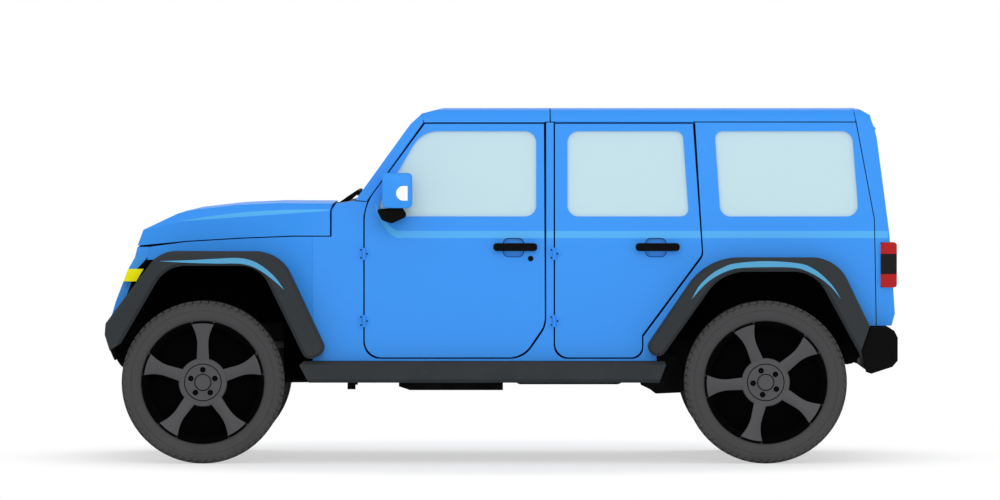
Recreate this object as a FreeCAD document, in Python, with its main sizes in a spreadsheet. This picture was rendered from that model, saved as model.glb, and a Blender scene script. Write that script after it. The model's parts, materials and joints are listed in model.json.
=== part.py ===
"""Lifted off-road 4x4 with five doors, modelled as a parametric document.

Sketches measure x from the vehicle's front end, y from its middle plane (left is negative) and z from
the ground. Each body is then moved back by half the overall length, so the nose points to -X and the
origin is on the ground under the middle of the vehicle.
"""
import FreeCAD, Part
import Sketcher
import math
import os

# Driving dimensions in millimetres. Names that end in _x, _y or _z are stations from the front end, the
# middle plane and the ground. Names that end in share are ratios, and those that end in turn are degrees.
SIZES = dict(
    # Overall
    overall_length=4236, wheelbase=3008, front_axle_x=524, body_half=800, flare_half=937, roof_z=1900,
    overrun=60, face_gap=0.3, shut_gap=8, hood_gap=6, door_relief=5,
    # Body section
    wall_inner=740, wall_top_inner=697, belt_low_z=1204, belt_high_z=1242, belt_step=8, lean=58,
    rail_z=1823, sill_bottom_z=470, roof_edge_radius=55, roof_edge_z=1893, roof_side_inset=4,
    roof_skin=34, drip_z=1797, drip_thick=12, section_base_z=380,
    # Doors
    door_bottom_z=557, door_inner=750, door_top_inner=707, front_door_x=1380, front_door_bend_z=1379,
    front_door_bend_radius=255, screen_top_x=1702, front_door_rear_x=2360, front_door_low_radius=90,
    front_door_cut_x=2240, front_door_cut_z=731, front_door_cut_radius=140, rear_door_x=2399,
    rear_door_low_radius=75, rear_door_top_x=3158, rear_door_hip_x=3201, rear_door_hip_z=1108,
    rear_door_hip_radius=60, rear_door_heel_x=2880, rear_door_heel_z=676, rear_door_heel_radius=60,
    # Windows
    window_bottom_z=1319, window_top_z=1776, window_radius=60, glass_inset=14, glass_thick=5,
    front_window_x=1424, front_window_top_x=1692, front_window_arc=153, front_window_rear_x=2306,
    rear_window_x=2473, rear_window_top_x=3091, rear_window_rear_x=3123, rear_window_small_radius=40,
    quarter_window_x=3292, quarter_window_top_x=3262, quarter_window_rear_x=4033,
    quarter_window_rear_top_x=3998, quarter_window_small_radius=38,
    # Body sides
    side_front_x=1110, cowl_front_x=1211, cowl_top_z=1388, screen_foot_x=1396, screen_foot_z=1398,
    screen_nose_x=1336, screen_nose_z=1403, sill_end_x=2950, arch_foot_z=600, arch_front_top_x=3262,
    arch_top_z=1060, arch_rear_top_x=3830, arch_rear_x=4075, arch_front_radius=250,
    arch_rear_radius=200, quarter_bottom_z=735, tail_line_x=4126, tail_line_mid_x=4116,
    tail_line_mid_z=1305, tail_line_top_x=4020,
    # Tail frame
    tail_roof_x=4007, tail_lip_x=4028, tail_lip_end_x=4095, tail_lip_end_z=1861, tail_under_x=4100,
    tail_under_z=1838, tail_bulge_x=4127, tail_bulge_z=1765, tail_bulge_radius=400, tail_hip_x=4196,
    tail_hip_z=1230, tail_hip_radius=900, tail_low_x=4226, tail_low_z=800, tail_foot_x=4208,
    gate_half=610, gate_top_z=1290, gate_sill_z=748, hatch_top_z=1790, hatch_top_half=570,
    opening_radius=60,
    # Hood, wings and nose
    hood_line_x=165, hood_line_z=1155, hood_line_a_x=430, hood_line_a_z=1181, hood_line_b_x=720,
    hood_line_b_z=1199, hood_line_c_x=1009, hood_line_z_rear=1211, hood_rear_x=1208, hood_rear_z=1352,
    hood_peak_x=1216, hood_peak_z=1388, hood_shoulder=44, hood_lip_x=197, hood_lip_z=1246,
    hood_brow_x=222, hood_brow_z=1258, bulge_foot_x=379, bulge_foot_z=1332, bulge_a_x=477,
    bulge_a_z=1355, bulge_b_x=701, bulge_b_z=1380, bulge_c_x=925, bulge_c_z=1390, hood_front_half=640,
    hood_rear_half=798, hood_skin=26, wing_thick=30, nose_foot_x=26, nose_foot_z=785, nose_a_x=47,
    nose_a_z=858, nose_b_x=84, nose_b_z=955, nose_c_x=115, nose_c_z=1034, nose_d_x=151, nose_d_z=1099,
    nose_top_z=1154, nose_deep=46, nose_top_deep=70, carrier_deep=60, carrier_half=600,
    wing_front_x=217, grille_half=330, grille_low_z=830, grille_high_z=1075, grille_radius=40,
    slat_high=17, slat_count=4, lamp_y=478, lamp_z=985, lamp_radius=98,
    # Front arch and flares
    front_arch_foot_x=49, front_arch_foot_z=640, front_arch_top_x=307, front_arch_top_z=1085,
    front_arch_rear_top_x=847, front_arch_rear_x=1095, front_arch_bend_z=575, front_arch_base_z=440,
    front_arch_radius=190, liner_skin=15, liner_inner=410, liner_wall_z=746, liner_apron_x=945,
    liner_leg_inner=545, liner_outer=798, flare_edge_radius=16, front_flare_nose_x=6,
    front_flare_nose_z=750, front_flare_chin_x=2, front_flare_chin_z=690, front_flare_tip_x=28,
    front_flare_tip_z=606, front_flare_in_x=86, front_flare_in_z=643, front_flare_top_x=293,
    front_flare_top_z=1133, front_flare_top_radius=159, front_flare_rear_top_x=937,
    front_flare_rear_radius=212, front_flare_heel_x=1190, front_flare_heel_z=598,
    front_flare_toe_x=1078, front_flare_toe_z=545, front_flare_under_x=829, front_flare_under_z=1058,
    front_flare_under_radius=165, front_flare_under_front_x=327, front_flare_under_front_radius=184,
    flare_end_radius=50, rear_flare_heel_x=2884, rear_flare_heel_z=612, rear_flare_toe_x=2966,
    rear_flare_toe_z=556, rear_flare_top_x=3218, rear_flare_top_z=1101, rear_flare_top_radius=328,
    rear_flare_rear_top_x=3909, rear_flare_rear_radius=206, rear_flare_end_x=4086, rear_flare_end_z=736,
    rear_flare_foot_x=4040, rear_flare_foot_z=602, rear_flare_low_x=4050, rear_flare_low_z=556,
    rear_flare_under_rear_x=3794, rear_flare_under_rear_radius=190, rear_flare_under_x=3299,
    rear_flare_under_z=1026, rear_flare_under_radius=244, rear_liner_inner=600, rear_liner_base_z=470,
    # Side rails, bumpers and lamps
    rail_front_x=1063, rail_rear_x=2992, rail_nose_x=1039, rail_tail_x=2999, rail_nose_z=526,
    rail_top_z=547, rail_low_z=432, rail_low_front_x=1089, rail_low_rear_x=2963, rail_out=105,
    rail_edge_radius=18, bumper_top_z=760, bumper_face_x=0, bumper_face_top_z=745,
    bumper_face_low_z=690, bumper_knee_x=14, bumper_knee_z=605, bumper_low_x=40, bumper_low_z=545,
    bumper_back_x=48, bumper_centre_half=408, bumper_centre_back_x=149.7, bumper_chin_x=60,
    bumper_chin_z=513, bumper_toe_x=89, bumper_toe_z=487, tail_bumper_half=915,
    tail_bumper_front_x=4088, tail_bumper_top_z=730, tail_bumper_brow_x=4187, tail_bumper_cheek_x=4218,
    tail_bumper_cheek_z=710, tail_bumper_face_z=674, tail_bumper_low_face_z=551,
    tail_bumper_chin_x=4208, tail_bumper_chin_z=518, tail_bumper_base_x=4095, tail_bumper_base_z=481,
    tail_bumper_toe_x=4070, tail_bumper_toe_z=489, tail_bumper_nose_x=4044, tail_bumper_nose_z=602,
    tail_lamp_x=4149, tail_lamp_z=940, tail_lamp_top_z=1181, tail_lamp_width=120, tail_lamp_out=14,
    tail_lamp_radius=16, marker_low_front_x=94, marker_low_z=971, marker_low_rear_x=163,
    marker_high_front_x=118, marker_high_z=1036, marker_high_rear_x=200, marker_out=110,
    # Mirrors and handles
    mirror_x=1485, mirror_rear_x=1643, mirror_z=1367, mirror_top_z=1553, mirror_radius=24,
    mirror_inner=838, mirror_outer=1030, mirror_seat=781, foot_front_x=1453, foot_front_z=1359,
    foot_neck_x=1520, foot_neck_rear_x=1590, foot_rear_x=1618, foot_rear_z=1322, foot_low_x=1535,
    foot_low_z=1284, foot_outer=985, foot_radius=18, handle_rear_x=2311, handle_front_x=2076,
    handle_z=1135, handle_top_z=1177, handle_radius=18, handle_stand=20, handle_thick=22,
    handle_foot=36, cup_x=2129, cup_rear_x=2239, cup_z=1103, cup_top_z=1203, cup_radius=28, cup_deep=16,
    key_x=2276, key_z=1094, key_radius=15, key_out=3, rear_handle_shift=762,
    # Door hinges
    hinge_stand=10, hinge_radius=8, hinge_pin=4.92, hinge_bore=5, hinge_low_z=760, hinge_spacing=360,
    hinge_high=64, hinge_knuckle=20, hinge_leaf=28, hinge_play=0.5,
    # Screen, roof
    screen_face_z=1436, screen_face_x=1359, screen_head_x=1632, screen_head_z=1814,
    screen_head_radius=160, screen_crest_x=1695, screen_crest_z=1871, screen_open_z=1455,
    screen_open_top_z=1788, screen_open_half=655, screen_open_top_half=620, roof_crest_x=1807,
    roof_split_x=2380, screen_glass_set=22, screen_glass_thick=9, roof_seam=4,
    # Tub
    firewall_x=1238, firewall_thick=28, firewall_foot_z=720, floor_front_x=1380, floor_z=600,
    floor_thick=25, floor_step_x=2960, floor_rise_x=3040, cargo_z=800,
    # Frame
    rail_inner_y=330, rail_outer_y=400, frame_front_x=150, frame_rear_x=4090, frame_low_z=470,
    frame_top_z=590, frame_nose_low_z=640, frame_nose_top_z=745, frame_drop_x=1000,
    frame_drop_end_x=1240, frame_rise_x=3070, frame_rise_end_x=3300, frame_tail_low_z=670,
    frame_tail_top_z=785, cross_wide=90, cross_front_x=160, cross_gearbox_x=1580, cross_rear_x=3980,
    skid_x=1566, skid_rear_x=2128, skid_z=376, skid_top_z=430,
    # Wheels
    tyre_radius=434, tyre_half=125, tyre_shoulder=27, tyre_bulge_radius=345, bead_radius=312,
    bead_half=105, track_half=790, rim_radius=328, rim_lip=10, rim_bore=300, rim_face=100,
    rim_hub_face=92, rim_back=68, hub_radius=129, hub_back=40, cap_radius=44, cap_out=10,
    disc_radius=165, disc_face=8, disc_back=32, hub_tube=70, hub_end=40, spindle_radius=25,
    spindle_bore=25.08, spindle_deep=40, lug_circle=67, lug_radius=15, lug_deep=14, window_outer=320,
    rear_wheel_turn=21.7,
    # Knuckles and axles
    steer_inset=75, knuckle_low=46, knuckle_half_x=38, knuckle_half_z=84, knuckle_deep=56,
    kingpin_radius=12, kingpin_bore=12.08, kingpin_top=114, yoke_low=88, yoke_half_x=24, yoke_deep=60,
    yoke_back_y=620, axle_tube=42, diff_radius=128, diff_y=200, diff_deep=190, diff_nose=60,
    rear_diff_radius=140, rear_diff_deep=220, caliper_half=70, caliper_low=115, caliper_high=178,
    caliper_gap=4, caliper_thick=18,
    # Springs, links and shafts
    spring_radius=58, spring_y=365, rear_spring_y=365, link_radius=22, link_y=365, front_link_x=1288,
    front_link_z=442, rear_link_x=2968, rear_link_z=382, bracket_wide=60, bracket_low_z=380,
    bracket_front_x=1331, rear_bracket_x=2873, rear_bracket_z=404, rear_bracket_top_x=2830,
    rear_bracket_low_z=358, gearbox_half=150, gearbox_x=1100, gearbox_low_z=450, gearbox_bell_z=800,
    gearbox_bell_x=1180, gearbox_neck_x=1225, gearbox_neck_z=690, gearbox_back_x=1350,
    gearbox_top_z=588, gearbox_rear_x=2030, transfer_x=1800, transfer_y=240, transfer_top_z=560,
    shaft_radius=32, engine_x=430, engine_half=245, engine_low_z=600, engine_top_z=1090, tank_x=2190,
    tank_rear_x=2780, tank_inner=60, tank_low_z=405, tank_top_z=590, tank_radius=35, muffler_x=3990,
    muffler_half=250, muffler_radius=80, pipe_radius=27, down_pipe_radius=23, pipe_front_x=930,
    pipe_y=240, pipe_z=560,
    # Cabin
    seat_y=370, seat_half=245, seat_x=1850, seat_base_z=700, seat_front_z=905, seat_dip_x=2240,
    seat_dip_z=885, seat_top_x=2385, seat_top_z=1480, seat_back_x=2490, seat_foot_x=2370,
    seat_radius=60, head_low_x=2420, head_low_z=1520, head_top_z=1660, head_deep=85, head_half=130,
    seat_plinth_inset=60, bench_half=590, bench_shift=770, bench_base_z=840, bench_plinth_rear_x=2900,
    dash_top_z=1362, dash_rear_x=1610, dash_brow_z=1345, dash_lip_x=1630, dash_lip_z=1200,
    dash_foot_x=1500, dash_foot_z=1010, dash_half=692, column_y=370, column_radius=28,
    column_length=150, column_x=1600, column_z=1150, column_turn=62, steer_ring=185, steer_tube=15,
    steer_hub=60, steer_hub_deep=34, steer_spoke=36, steer_boss=12,
    # Wipers
    wiper_low_x=1249, wiper_high_x=1345, wiper_high_z=1452, wiper_thick=18, wiper_long=420, wiper_y=100,
    wiper_heel=10,
    # Tailgate and hatch
    gate_thick=50, gate_face_x=4196, gate_hinge_x=4208, gate_leaf=46, gate_handle_y=440,
    gate_handle_z=1090, gate_handle_half=80, gate_handle_high=36, gate_handle_out=30, gate_rib=10,
    gate_rib_half=430, gate_rib_low_z=850, gate_rib_high_z=1160, hatch_glass_thick=14,
    hatch_hinge_x=4134, hatch_hinge_z=1789, hatch_hinge_y=360, hatch_hinge_radius=7, hatch_ear_z=1745,
    hood_hinge_x=1224, hood_hinge_z=1375, hood_hinge_y=500, hood_hinge_radius=8,
)

# Flats of the round parts, and the turns and shares that shape a wheel's spokes
WHEEL_SIDES = 32
HUB_SIDES = 16
SMALL_SIDES = 10
NUT_SIDES = 6
SPOKES = 5
OUTER_SHARE = 0.93
INNER_SHARE = 0.965
OUTER_TURN = 24.2
WAIST_TURN = 28.5
INNER_TURN = 20.3
LUG_TURN = 36

# How near two places must be to count as one, in millimetres
NEAR = 1

DOC = FreeCAD.newDocument("OffRoader")
SHEET = DOC.addObject("Spreadsheet::Sheet", "Sizes")


class Length:
    """A number together with the sheet formula that gives it."""

    def __init__(self, number, formula):
        self.number = number
        self.formula = formula

    def join(self, other, sign, number):
        return Length(number, "(%s %s %s)" % (self.formula, sign, as_length(other).formula))

    def __add__(self, other):
        return self.join(other, "+", self.number + as_length(other).number)

    def __sub__(self, other):
        return self.join(other, "-", self.number - as_length(other).number)

    def __mul__(self, other):
        return self.join(other, "*", self.number * as_length(other).number)

    def __truediv__(self, other):
        return self.join(other, "/", self.number / as_length(other).number)

    def __radd__(self, other):
        return as_length(other) + self

    def __rmul__(self, other):
        return self * other

    def __neg__(self):
        return self * -1


def as_length(value):
    """Wraps a plain number, such as zero or a ratio."""
    return value if isinstance(value, Length) else Length(value, repr(value))


class Sizes:
    """Gives each cell of the sheet as an attribute."""

    def __init__(self, values):
        for row, (name, value) in enumerate(values.items(), start=1):
            cell = "A%d" % row
            SHEET.set(cell, str(value))
            SHEET.setAlias(cell, name)
            setattr(self, name, Length(value, "Sizes." + name))


S = Sizes(SIZES)
DOC.recompute()

# No shift and no gap
FLUSH = as_length(0)


def bind(feature, prop, value):
    """Sets a property from a length and keeps its formula."""
    value = as_length(value)
    feature.setExpression(prop, value.formula)


class Disc:
    """A circle in a sketch, or with sides given a round part that is made with flats."""

    def __init__(self, x, y, radius, sides=None):
        self.x, self.y, self.radius = as_length(x), as_length(y), as_length(radius)
        self.sides = sides

    def corners(self):
        """The corners of the flats, from the lowest one round."""
        made = []
        for number in range(self.sides):
            angle = 2 * math.pi * number / self.sides
            across, up = round(math.sin(angle), 6), round(-math.cos(angle), 6)
            x = self.x + self.radius * across if across else self.x
            y = self.y + self.radius * up if up else self.y
            made.append((x, y))
        return made


class Via:
    """A point that the edge between its two neighbours passes through as an arc."""

    def __init__(self, x, y):
        self.x, self.y = as_length(x), as_length(y)


def pin_point(geometry, position, x, y):
    """The constraints, with their formulas, that fix a point at x and y from the origin."""
    fixes = []
    for kind, axis, value in (("DistanceX", -2, x), ("DistanceY", -1, y)):
        if value.formula == "0":
            fixes.append((Sketcher.Constraint("PointOnObject", geometry, position, axis), None))
        else:
            fixes.append((Sketcher.Constraint(kind, -1, 1, geometry, position, value.number),
                          value.formula))
    return fixes


def constrain(sketch, fixes):
    """Adds constraints in one go and ties those with a formula to the sheet."""
    numbers = sketch.addConstraint([fix for fix, formula in fixes])
    for number, (fix, formula) in zip(numbers, fixes):
        if formula:
            sketch.setExpression("Constraints[%d]" % number, formula)


def vector(x, y):
    return FreeCAD.Vector(x.number, y.number, 0)


def rounded(before, corner, after, radius):
    """The two tangent points and the centre of an arc that rounds a corner."""
    back = (before - corner).normalize()
    ahead = (after - corner).normalize()
    half = back.getAngle(ahead) / 2
    reach = radius / math.tan(half)
    centre = corner + (back + ahead).normalize() * (radius / math.sin(half))
    return corner + back * reach, corner + ahead * reach, centre


def draw_loop(sketch, corners):
    """Draws a closed outline. A corner is (x, y) or (x, y, radius), and a Via bends its edge."""
    plain = [c for c in corners if not isinstance(c, Via)]
    points = [vector(as_length(c[0]), as_length(c[1])) for c in plain]
    count = len(plain)
    vias, index = {}, -1
    for c in corners:
        if isinstance(c, Via):
            vias[index] = c
        else:
            index += 1
    starts, ends, arcs = list(points), list(points), {}
    for i, c in enumerate(plain):
        if len(c) == 3:
            into, out, centre = rounded(points[i - 1], points[i], points[(i + 1) % count], c[2].number)
            starts[i], ends[i], arcs[i] = out, into, centre
    edges = []
    for i in range(count):
        a, b = starts[i], ends[(i + 1) % count]
        if i in vias:
            shape = Part.Arc(a, vector(vias[i].x, vias[i].y), b)
            edge = sketch.addGeometry(shape, False)
            first = sketch.getPoint(edge, 1).distanceToPoint(a) < sketch.getPoint(edge,
                                                                                  1).distanceToPoint(b)
            edges.append((edge, 1 if first else 2, 2 if first else 1))
        else:
            edges.append((sketch.addGeometry(Part.LineSegment(a, b), False), 1, 2))
    fixes = []
    for i, c in enumerate(plain):
        x, y = as_length(c[0]), as_length(c[1])
        last, this = edges[i - 1], edges[i]
        if i not in arcs:
            fixes.append((Sketcher.Constraint("Coincident", last[0], last[2], this[0], this[1]), None))
            fixes += pin_point(this[0], this[1], x, y)
            continue
        centre = arcs[i]
        left_turn = (points[i] - points[i - 1]).cross(points[(i + 1) % count] - points[i]).z > 0
        begin, finish = (ends[i], starts[i]) if left_turn else (starts[i], ends[i])
        angles = [math.atan2(p.y - centre.y, p.x - centre.x) for p in (begin, finish)]
        circle = Part.Circle(centre, FreeCAD.Vector(0, 0, 1), c[2].number)
        arc = sketch.addGeometry(Part.ArcOfCircle(circle, angles[0], angles[1]), False)
        near, far = (1, 2) if left_turn else (2, 1)
        mark = sketch.addGeometry(Part.Point(points[i]), True)
        fixes.append((Sketcher.Constraint("Tangent", last[0], last[2], arc, near), None))
        fixes.append((Sketcher.Constraint("Tangent", this[0], this[1], arc, far), None))
        fixes.append((Sketcher.Constraint("Radius", arc, c[2].number), c[2].formula))
        fixes += pin_point(mark, 1, x, y)
        fixes.append((Sketcher.Constraint("PointOnObject", mark, 1, last[0]), None))
        fixes.append((Sketcher.Constraint("PointOnObject", mark, 1, this[0]), None))
    for i, via in vias.items():
        mark = sketch.addGeometry(Part.Point(vector(via.x, via.y)), True)
        fixes += pin_point(mark, 1, via.x, via.y)
        fixes.append((Sketcher.Constraint("PointOnObject", mark, 1, edges[i][0]), None))
    constrain(sketch, fixes)


def sketch_on(body, plane, loops, start=None):
    """A sketch on one of the body's planes, moved along the plane's normal by start."""
    sketch = body.newObject("Sketcher::SketchObject", body.Name + "Sketch")
    support = [f for f in body.Origin.OriginFeatures if f.Role == plane + "_Plane"][0]
    sketch.AttachmentSupport = [(support, "")]
    sketch.MapMode = "FlatFace"
    if start is not None:
        bind(sketch, "AttachmentOffset.Base.z", start)
    for loop in loops:
        if isinstance(loop, Disc) and loop.sides:
            draw_loop(sketch, loop.corners())
        elif isinstance(loop, Disc):
            centre = vector(loop.x, loop.y)
            circle = Part.Circle(centre, FreeCAD.Vector(0, 0, 1), loop.radius.number)
            edge = sketch.addGeometry(circle, False)
            radius = Sketcher.Constraint("Radius", edge, loop.radius.number)
            constrain(sketch, pin_point(edge, 3, loop.x, loop.y) + [(radius, loop.radius.formula)])
        else:
            draw_loop(sketch, loop)
    return sketch


def new_body(label):
    """An empty body whose sketches measure x from the front end."""
    body = DOC.addObject("PartDesign::Body", label)
    body.Label = label
    bind(body, "Placement.Base.x", S.overall_length / -2)
    return body


def pad(body, plane, loops, length, start=None, both=False):
    """Adds material: XZ runs to the left (-y), YZ to the rear, XY upwards."""
    feature = body.newObject("PartDesign::Pad", body.Name + "Pad")
    feature.Profile = sketch_on(body, plane, loops, start)
    bind(feature, "Length", length)
    if both:
        feature.SideType = "Symmetric"
    return feature


def cut(body, plane, loops, depth=None, start=None, both=False):
    """Takes material away along the plane's normal, or right through when depth is left out."""
    feature = body.newObject("PartDesign::Pocket", body.Name + "Cut")
    feature.Profile = sketch_on(body, plane, loops, start)
    if depth is None:
        feature.Type = "ThroughAll"
        feature.SideType = "Symmetric"
    else:
        bind(feature, "Length", depth)
        if both:
            feature.SideType = "Symmetric"
        else:
            feature.Reversed = True
    return feature


def loft(body, plane, stations, hollow=False):
    """Joins outlines at several stations along the plane's normal with straight walls."""
    kind = "PartDesign::SubtractiveLoft" if hollow else "PartDesign::AdditiveLoft"
    feature = body.newObject(kind, body.Name + "Loft")
    sketches = [sketch_on(body, plane, [loop], start) for loop, start in stations]
    feature.Profile = sketches[0]
    feature.Sections = sketches[1:]
    feature.Ruled = True
    return feature


def frame_loop():
    """A rectangle larger than the vehicle in every view."""
    far = S.overall_length * 2
    return [(-far, -far), (far, -far), (far, far), (-far, far)]


def trim(body, plane, outline):
    """Keeps only what lies inside an outline."""
    return cut(body, plane, [frame_loop(), outline])


def box_loop(x0, y0, x1, y1, radius=None):
    corners = [(x0, y0), (x1, y0), (x1, y1), (x0, y1)]
    return [c + (radius,) for c in corners] if radius else corners


def polar(body, features, count):
    """Repeats features round the Y axis."""
    pattern = body.newObject("PartDesign::PolarPattern", body.Name + "Polar")
    pattern.Originals = features
    axis = [f for f in body.Origin.OriginFeatures if f.Role == "Y_Axis"][0]
    pattern.Axis = (axis, [""])
    pattern.Angle = 360
    pattern.Occurrences = count
    body.Tip = pattern
    return pattern


def row(body, features, role, length, count):
    """Repeats features along one of the body's axes."""
    pattern = body.newObject("PartDesign::LinearPattern", body.Name + "Row")
    pattern.Originals = features
    axis = [f for f in body.Origin.OriginFeatures if f.Role == role][0]
    pattern.Direction = (axis, [""])
    bind(pattern, "Length", length)
    pattern.Occurrences = count
    body.Tip = pattern
    return pattern


def bevel_edges(body, size, wanted):
    """Bevels the edges of the body for which wanted(edge) is true."""
    DOC.recompute()
    base = body.Tip
    names = ["Edge%d" % (i + 1) for i, e in enumerate(base.Shape.Edges) if wanted(e)]
    if not names:
        raise ValueError("no edge to bevel on " + body.Label)
    feature = body.newObject("PartDesign::Chamfer", body.Name + "Bevel")
    feature.Base = (base, names)
    bind(feature, "Size", size)
    return feature


def mirrored(source, label):
    """The same piece on the other side of the middle plane."""
    twin = DOC.addObject("Part::Mirroring", label)
    twin.Label = label
    twin.Source = source
    twin.Normal = FreeCAD.Vector(0, 1, 0)
    return twin


def together(label, pieces):
    """Several solids that share one node."""
    group = DOC.addObject("Part::Compound", label)
    group.Label = label
    group.Links = pieces
    return group


def pair(label, source):
    """A left piece and its mirror image as one node."""
    return together(label, [source, mirrored(source, label + "_twin")])


NODES = []


def keep(piece):
    """Marks a finished piece as a node of the model."""
    NODES.append(piece)
    return piece


def outer_side():
    """The outer face of the body's left side as (y, z) points, from the base up."""
    return [(-S.body_half, S.section_base_z), (-S.body_half, S.belt_low_z),
            (-(S.body_half - S.belt_step), S.belt_high_z), (-(S.body_half - S.lean), S.rail_z)]


def outer_section():
    """The closed outer section of the whole body with its roof."""
    left = outer_side() + [(-(S.body_half - S.lean - S.roof_side_inset), S.roof_edge_z, S.roof_edge_radius),
                           (0, S.roof_z)]
    right = [(-c[0],) + tuple(c[1:]) for c in reversed(left[:-1])]
    return left + right


def wall_section(inner, inner_top):
    """A left wall between the outer face and an inner face."""
    return outer_side() + [(-inner_top, S.rail_z), (-inner, S.belt_high_z), (-inner, S.section_base_z)]


def front_door_outline(gap, relief=0):
    """The front door's outline, taken in by gap on every side."""
    return [
        (S.front_door_x + gap, S.door_bottom_z + gap, S.front_door_low_radius),
        (S.front_door_cut_x - gap, S.door_bottom_z + gap, S.front_door_cut_radius),
        (S.front_door_rear_x - gap, S.front_door_cut_z + gap, S.front_door_cut_radius),
        (S.front_door_rear_x - gap - relief, S.rail_z - gap),
        (S.screen_top_x + gap, S.rail_z - gap),
        (S.front_door_x + gap, S.front_door_bend_z, S.front_door_bend_radius),
    ]


def rear_door_outline(gap, relief=0):
    """The rear door's outline, taken in by gap on every side."""
    return [
        (S.rear_door_x + gap, S.door_bottom_z + gap, S.rear_door_low_radius),
        (S.rear_door_heel_x - gap, S.door_bottom_z + gap, S.rear_door_heel_radius),
        (S.rear_door_heel_x - gap, S.rear_door_heel_z + gap),
        (S.rear_door_hip_x - gap, S.rear_door_hip_z + gap, S.rear_door_hip_radius),
        (S.rear_door_top_x - gap - relief, S.rail_z - gap),
        (S.rear_door_x + gap, S.rail_z - gap),
    ]


def front_window():
    return [
        (S.front_window_x, S.window_bottom_z, S.window_radius),
        (S.front_window_rear_x, S.window_bottom_z, S.window_radius),
        (S.front_window_rear_x, S.window_top_z, S.window_radius),
        (S.front_window_top_x, S.window_top_z, S.front_window_arc),
    ]


def rear_window():
    return [
        (S.rear_window_x, S.window_bottom_z, S.window_radius),
        (S.rear_window_rear_x, S.window_bottom_z, S.rear_window_small_radius),
        (S.rear_window_top_x, S.window_top_z, S.rear_window_small_radius),
        (S.rear_window_x, S.window_top_z, S.window_radius),
    ]


def quarter_window():
    return [
        (S.quarter_window_x, S.window_bottom_z, S.window_radius),
        (S.quarter_window_rear_x, S.window_bottom_z, S.window_radius),
        (S.quarter_window_rear_top_x, S.window_top_z, S.window_radius),
        (S.quarter_window_top_x, S.window_top_z, S.quarter_window_small_radius),
    ]


def rear_arch(grow):
    """The rear wheel opening, made larger by grow."""
    return [
        (S.sill_end_x - grow, S.section_base_z - S.overrun),
        (S.sill_end_x - grow, S.arch_foot_z),
        (S.arch_front_top_x - grow, S.arch_top_z + grow, S.arch_front_radius),
        (S.arch_rear_top_x + grow, S.arch_top_z + grow, S.arch_rear_radius),
        (S.arch_rear_x + grow, S.arch_foot_z),
        (S.arch_rear_x + grow, S.section_base_z - S.overrun),
    ]


def front_arch(grow):
    """The front wheel opening, made larger by grow."""
    return [
        (S.front_arch_foot_x - grow, S.front_arch_foot_z),
        (S.front_arch_top_x - grow, S.front_arch_top_z + grow, S.front_arch_radius),
        (S.front_arch_rear_top_x + grow, S.front_arch_top_z + grow, S.front_arch_radius),
        (S.front_arch_rear_x + grow, S.front_arch_bend_z),
        (S.front_arch_rear_x + grow, S.front_arch_base_z),
        (S.front_arch_foot_x - grow, S.front_arch_base_z),
    ]


def side_outline():
    """The left body side seen from the side, before its doors and wheel opening are cut."""
    return [
        (S.side_front_x, S.sill_bottom_z),
        (S.tail_line_x, S.sill_bottom_z),
        (S.tail_line_x, S.quarter_bottom_z),
        (S.tail_line_mid_x, S.tail_line_mid_z),
        (S.tail_line_top_x, S.rail_z),
        (S.front_door_rear_x, S.rail_z),
        (S.front_door_rear_x, S.screen_foot_z),
        (S.screen_foot_x, S.screen_foot_z),
        (S.screen_nose_x, S.screen_nose_z),
        (S.cowl_front_x + S.belt_step * 3, S.cowl_top_z),
        (S.cowl_front_x, S.hood_rear_z),
        (S.cowl_front_x, S.hood_line_z_rear),
        (S.side_front_x, S.hood_line_z_rear),
    ]


def hinge_on(body, x, outward, door):
    """Two exposed hinges on a vertical line: the pins and end knuckles, or the door's middle knuckles."""
    y = -(S.body_half + S.hinge_stand)
    half = S.hinge_high / 2
    lug = S.hinge_knuckle / 2 - S.hinge_play
    foot_x = x + outward * S.hinge_leaf
    leaf = box_loop(min_of(x, foot_x), y, max_of(x, foot_x), -(S.body_half - S.face_gap))
    if door:
        low = S.hinge_low_z - lug
        knuckle = Disc(x, y, S.hinge_radius, SMALL_SIDES)
        made = [pad(body, "XY", [leaf], lug * 2, low), pad(body, "XY", [knuckle], lug * 2, low)]
        made.append(cut(body, "XY", [Disc(x, y, S.hinge_bore)], lug * 2 + S.overrun, low - S.overrun / 2))
    else:
        low = S.hinge_low_z - half
        ends = half - S.hinge_knuckle / 2
        made = []
        for base in (low, S.hinge_low_z + S.hinge_knuckle / 2):
            made.append(pad(body, "XY", [leaf], ends, base))
            made.append(pad(body, "XY", [Disc(x, y, S.hinge_radius, SMALL_SIDES)], ends, base))
        made.append(pad(body, "XY", [Disc(x, y, S.hinge_pin)], S.hinge_high, low))
    row(body, made, "Z_Axis", S.hinge_spacing, 2)


def cross_hinge(body, x, z, y, radius, root, middle):
    """A hinge with its pin along y: the middle knuckle, or the two end knuckles with their pin."""
    half = S.hinge_high / 2
    ear = [(x, z + radius), (x, z - radius), root[0], root[1]]
    if middle:
        lug = S.hinge_knuckle / 2 - S.hinge_play
        for loop in (ear, Disc(x, z, radius, SMALL_SIDES)):
            pad(body, "XZ", [loop], lug * 2, y - lug)
        cut(body, "XZ", [Disc(x, z, S.hinge_bore)], lug * 2 + S.overrun, y - lug - S.overrun / 2)
        return
    for start in (y - half, y + S.hinge_knuckle / 2):
        for loop in (ear, Disc(x, z, radius, SMALL_SIDES)):
            pad(body, "XZ", [loop], half - S.hinge_knuckle / 2, start)
    pad(body, "XZ", [Disc(x, z, S.hinge_pin)], S.hinge_high, y - half)


def min_of(a, b):
    return a if a.number < b.number else b


def max_of(a, b):
    return b if a.number < b.number else a


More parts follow.
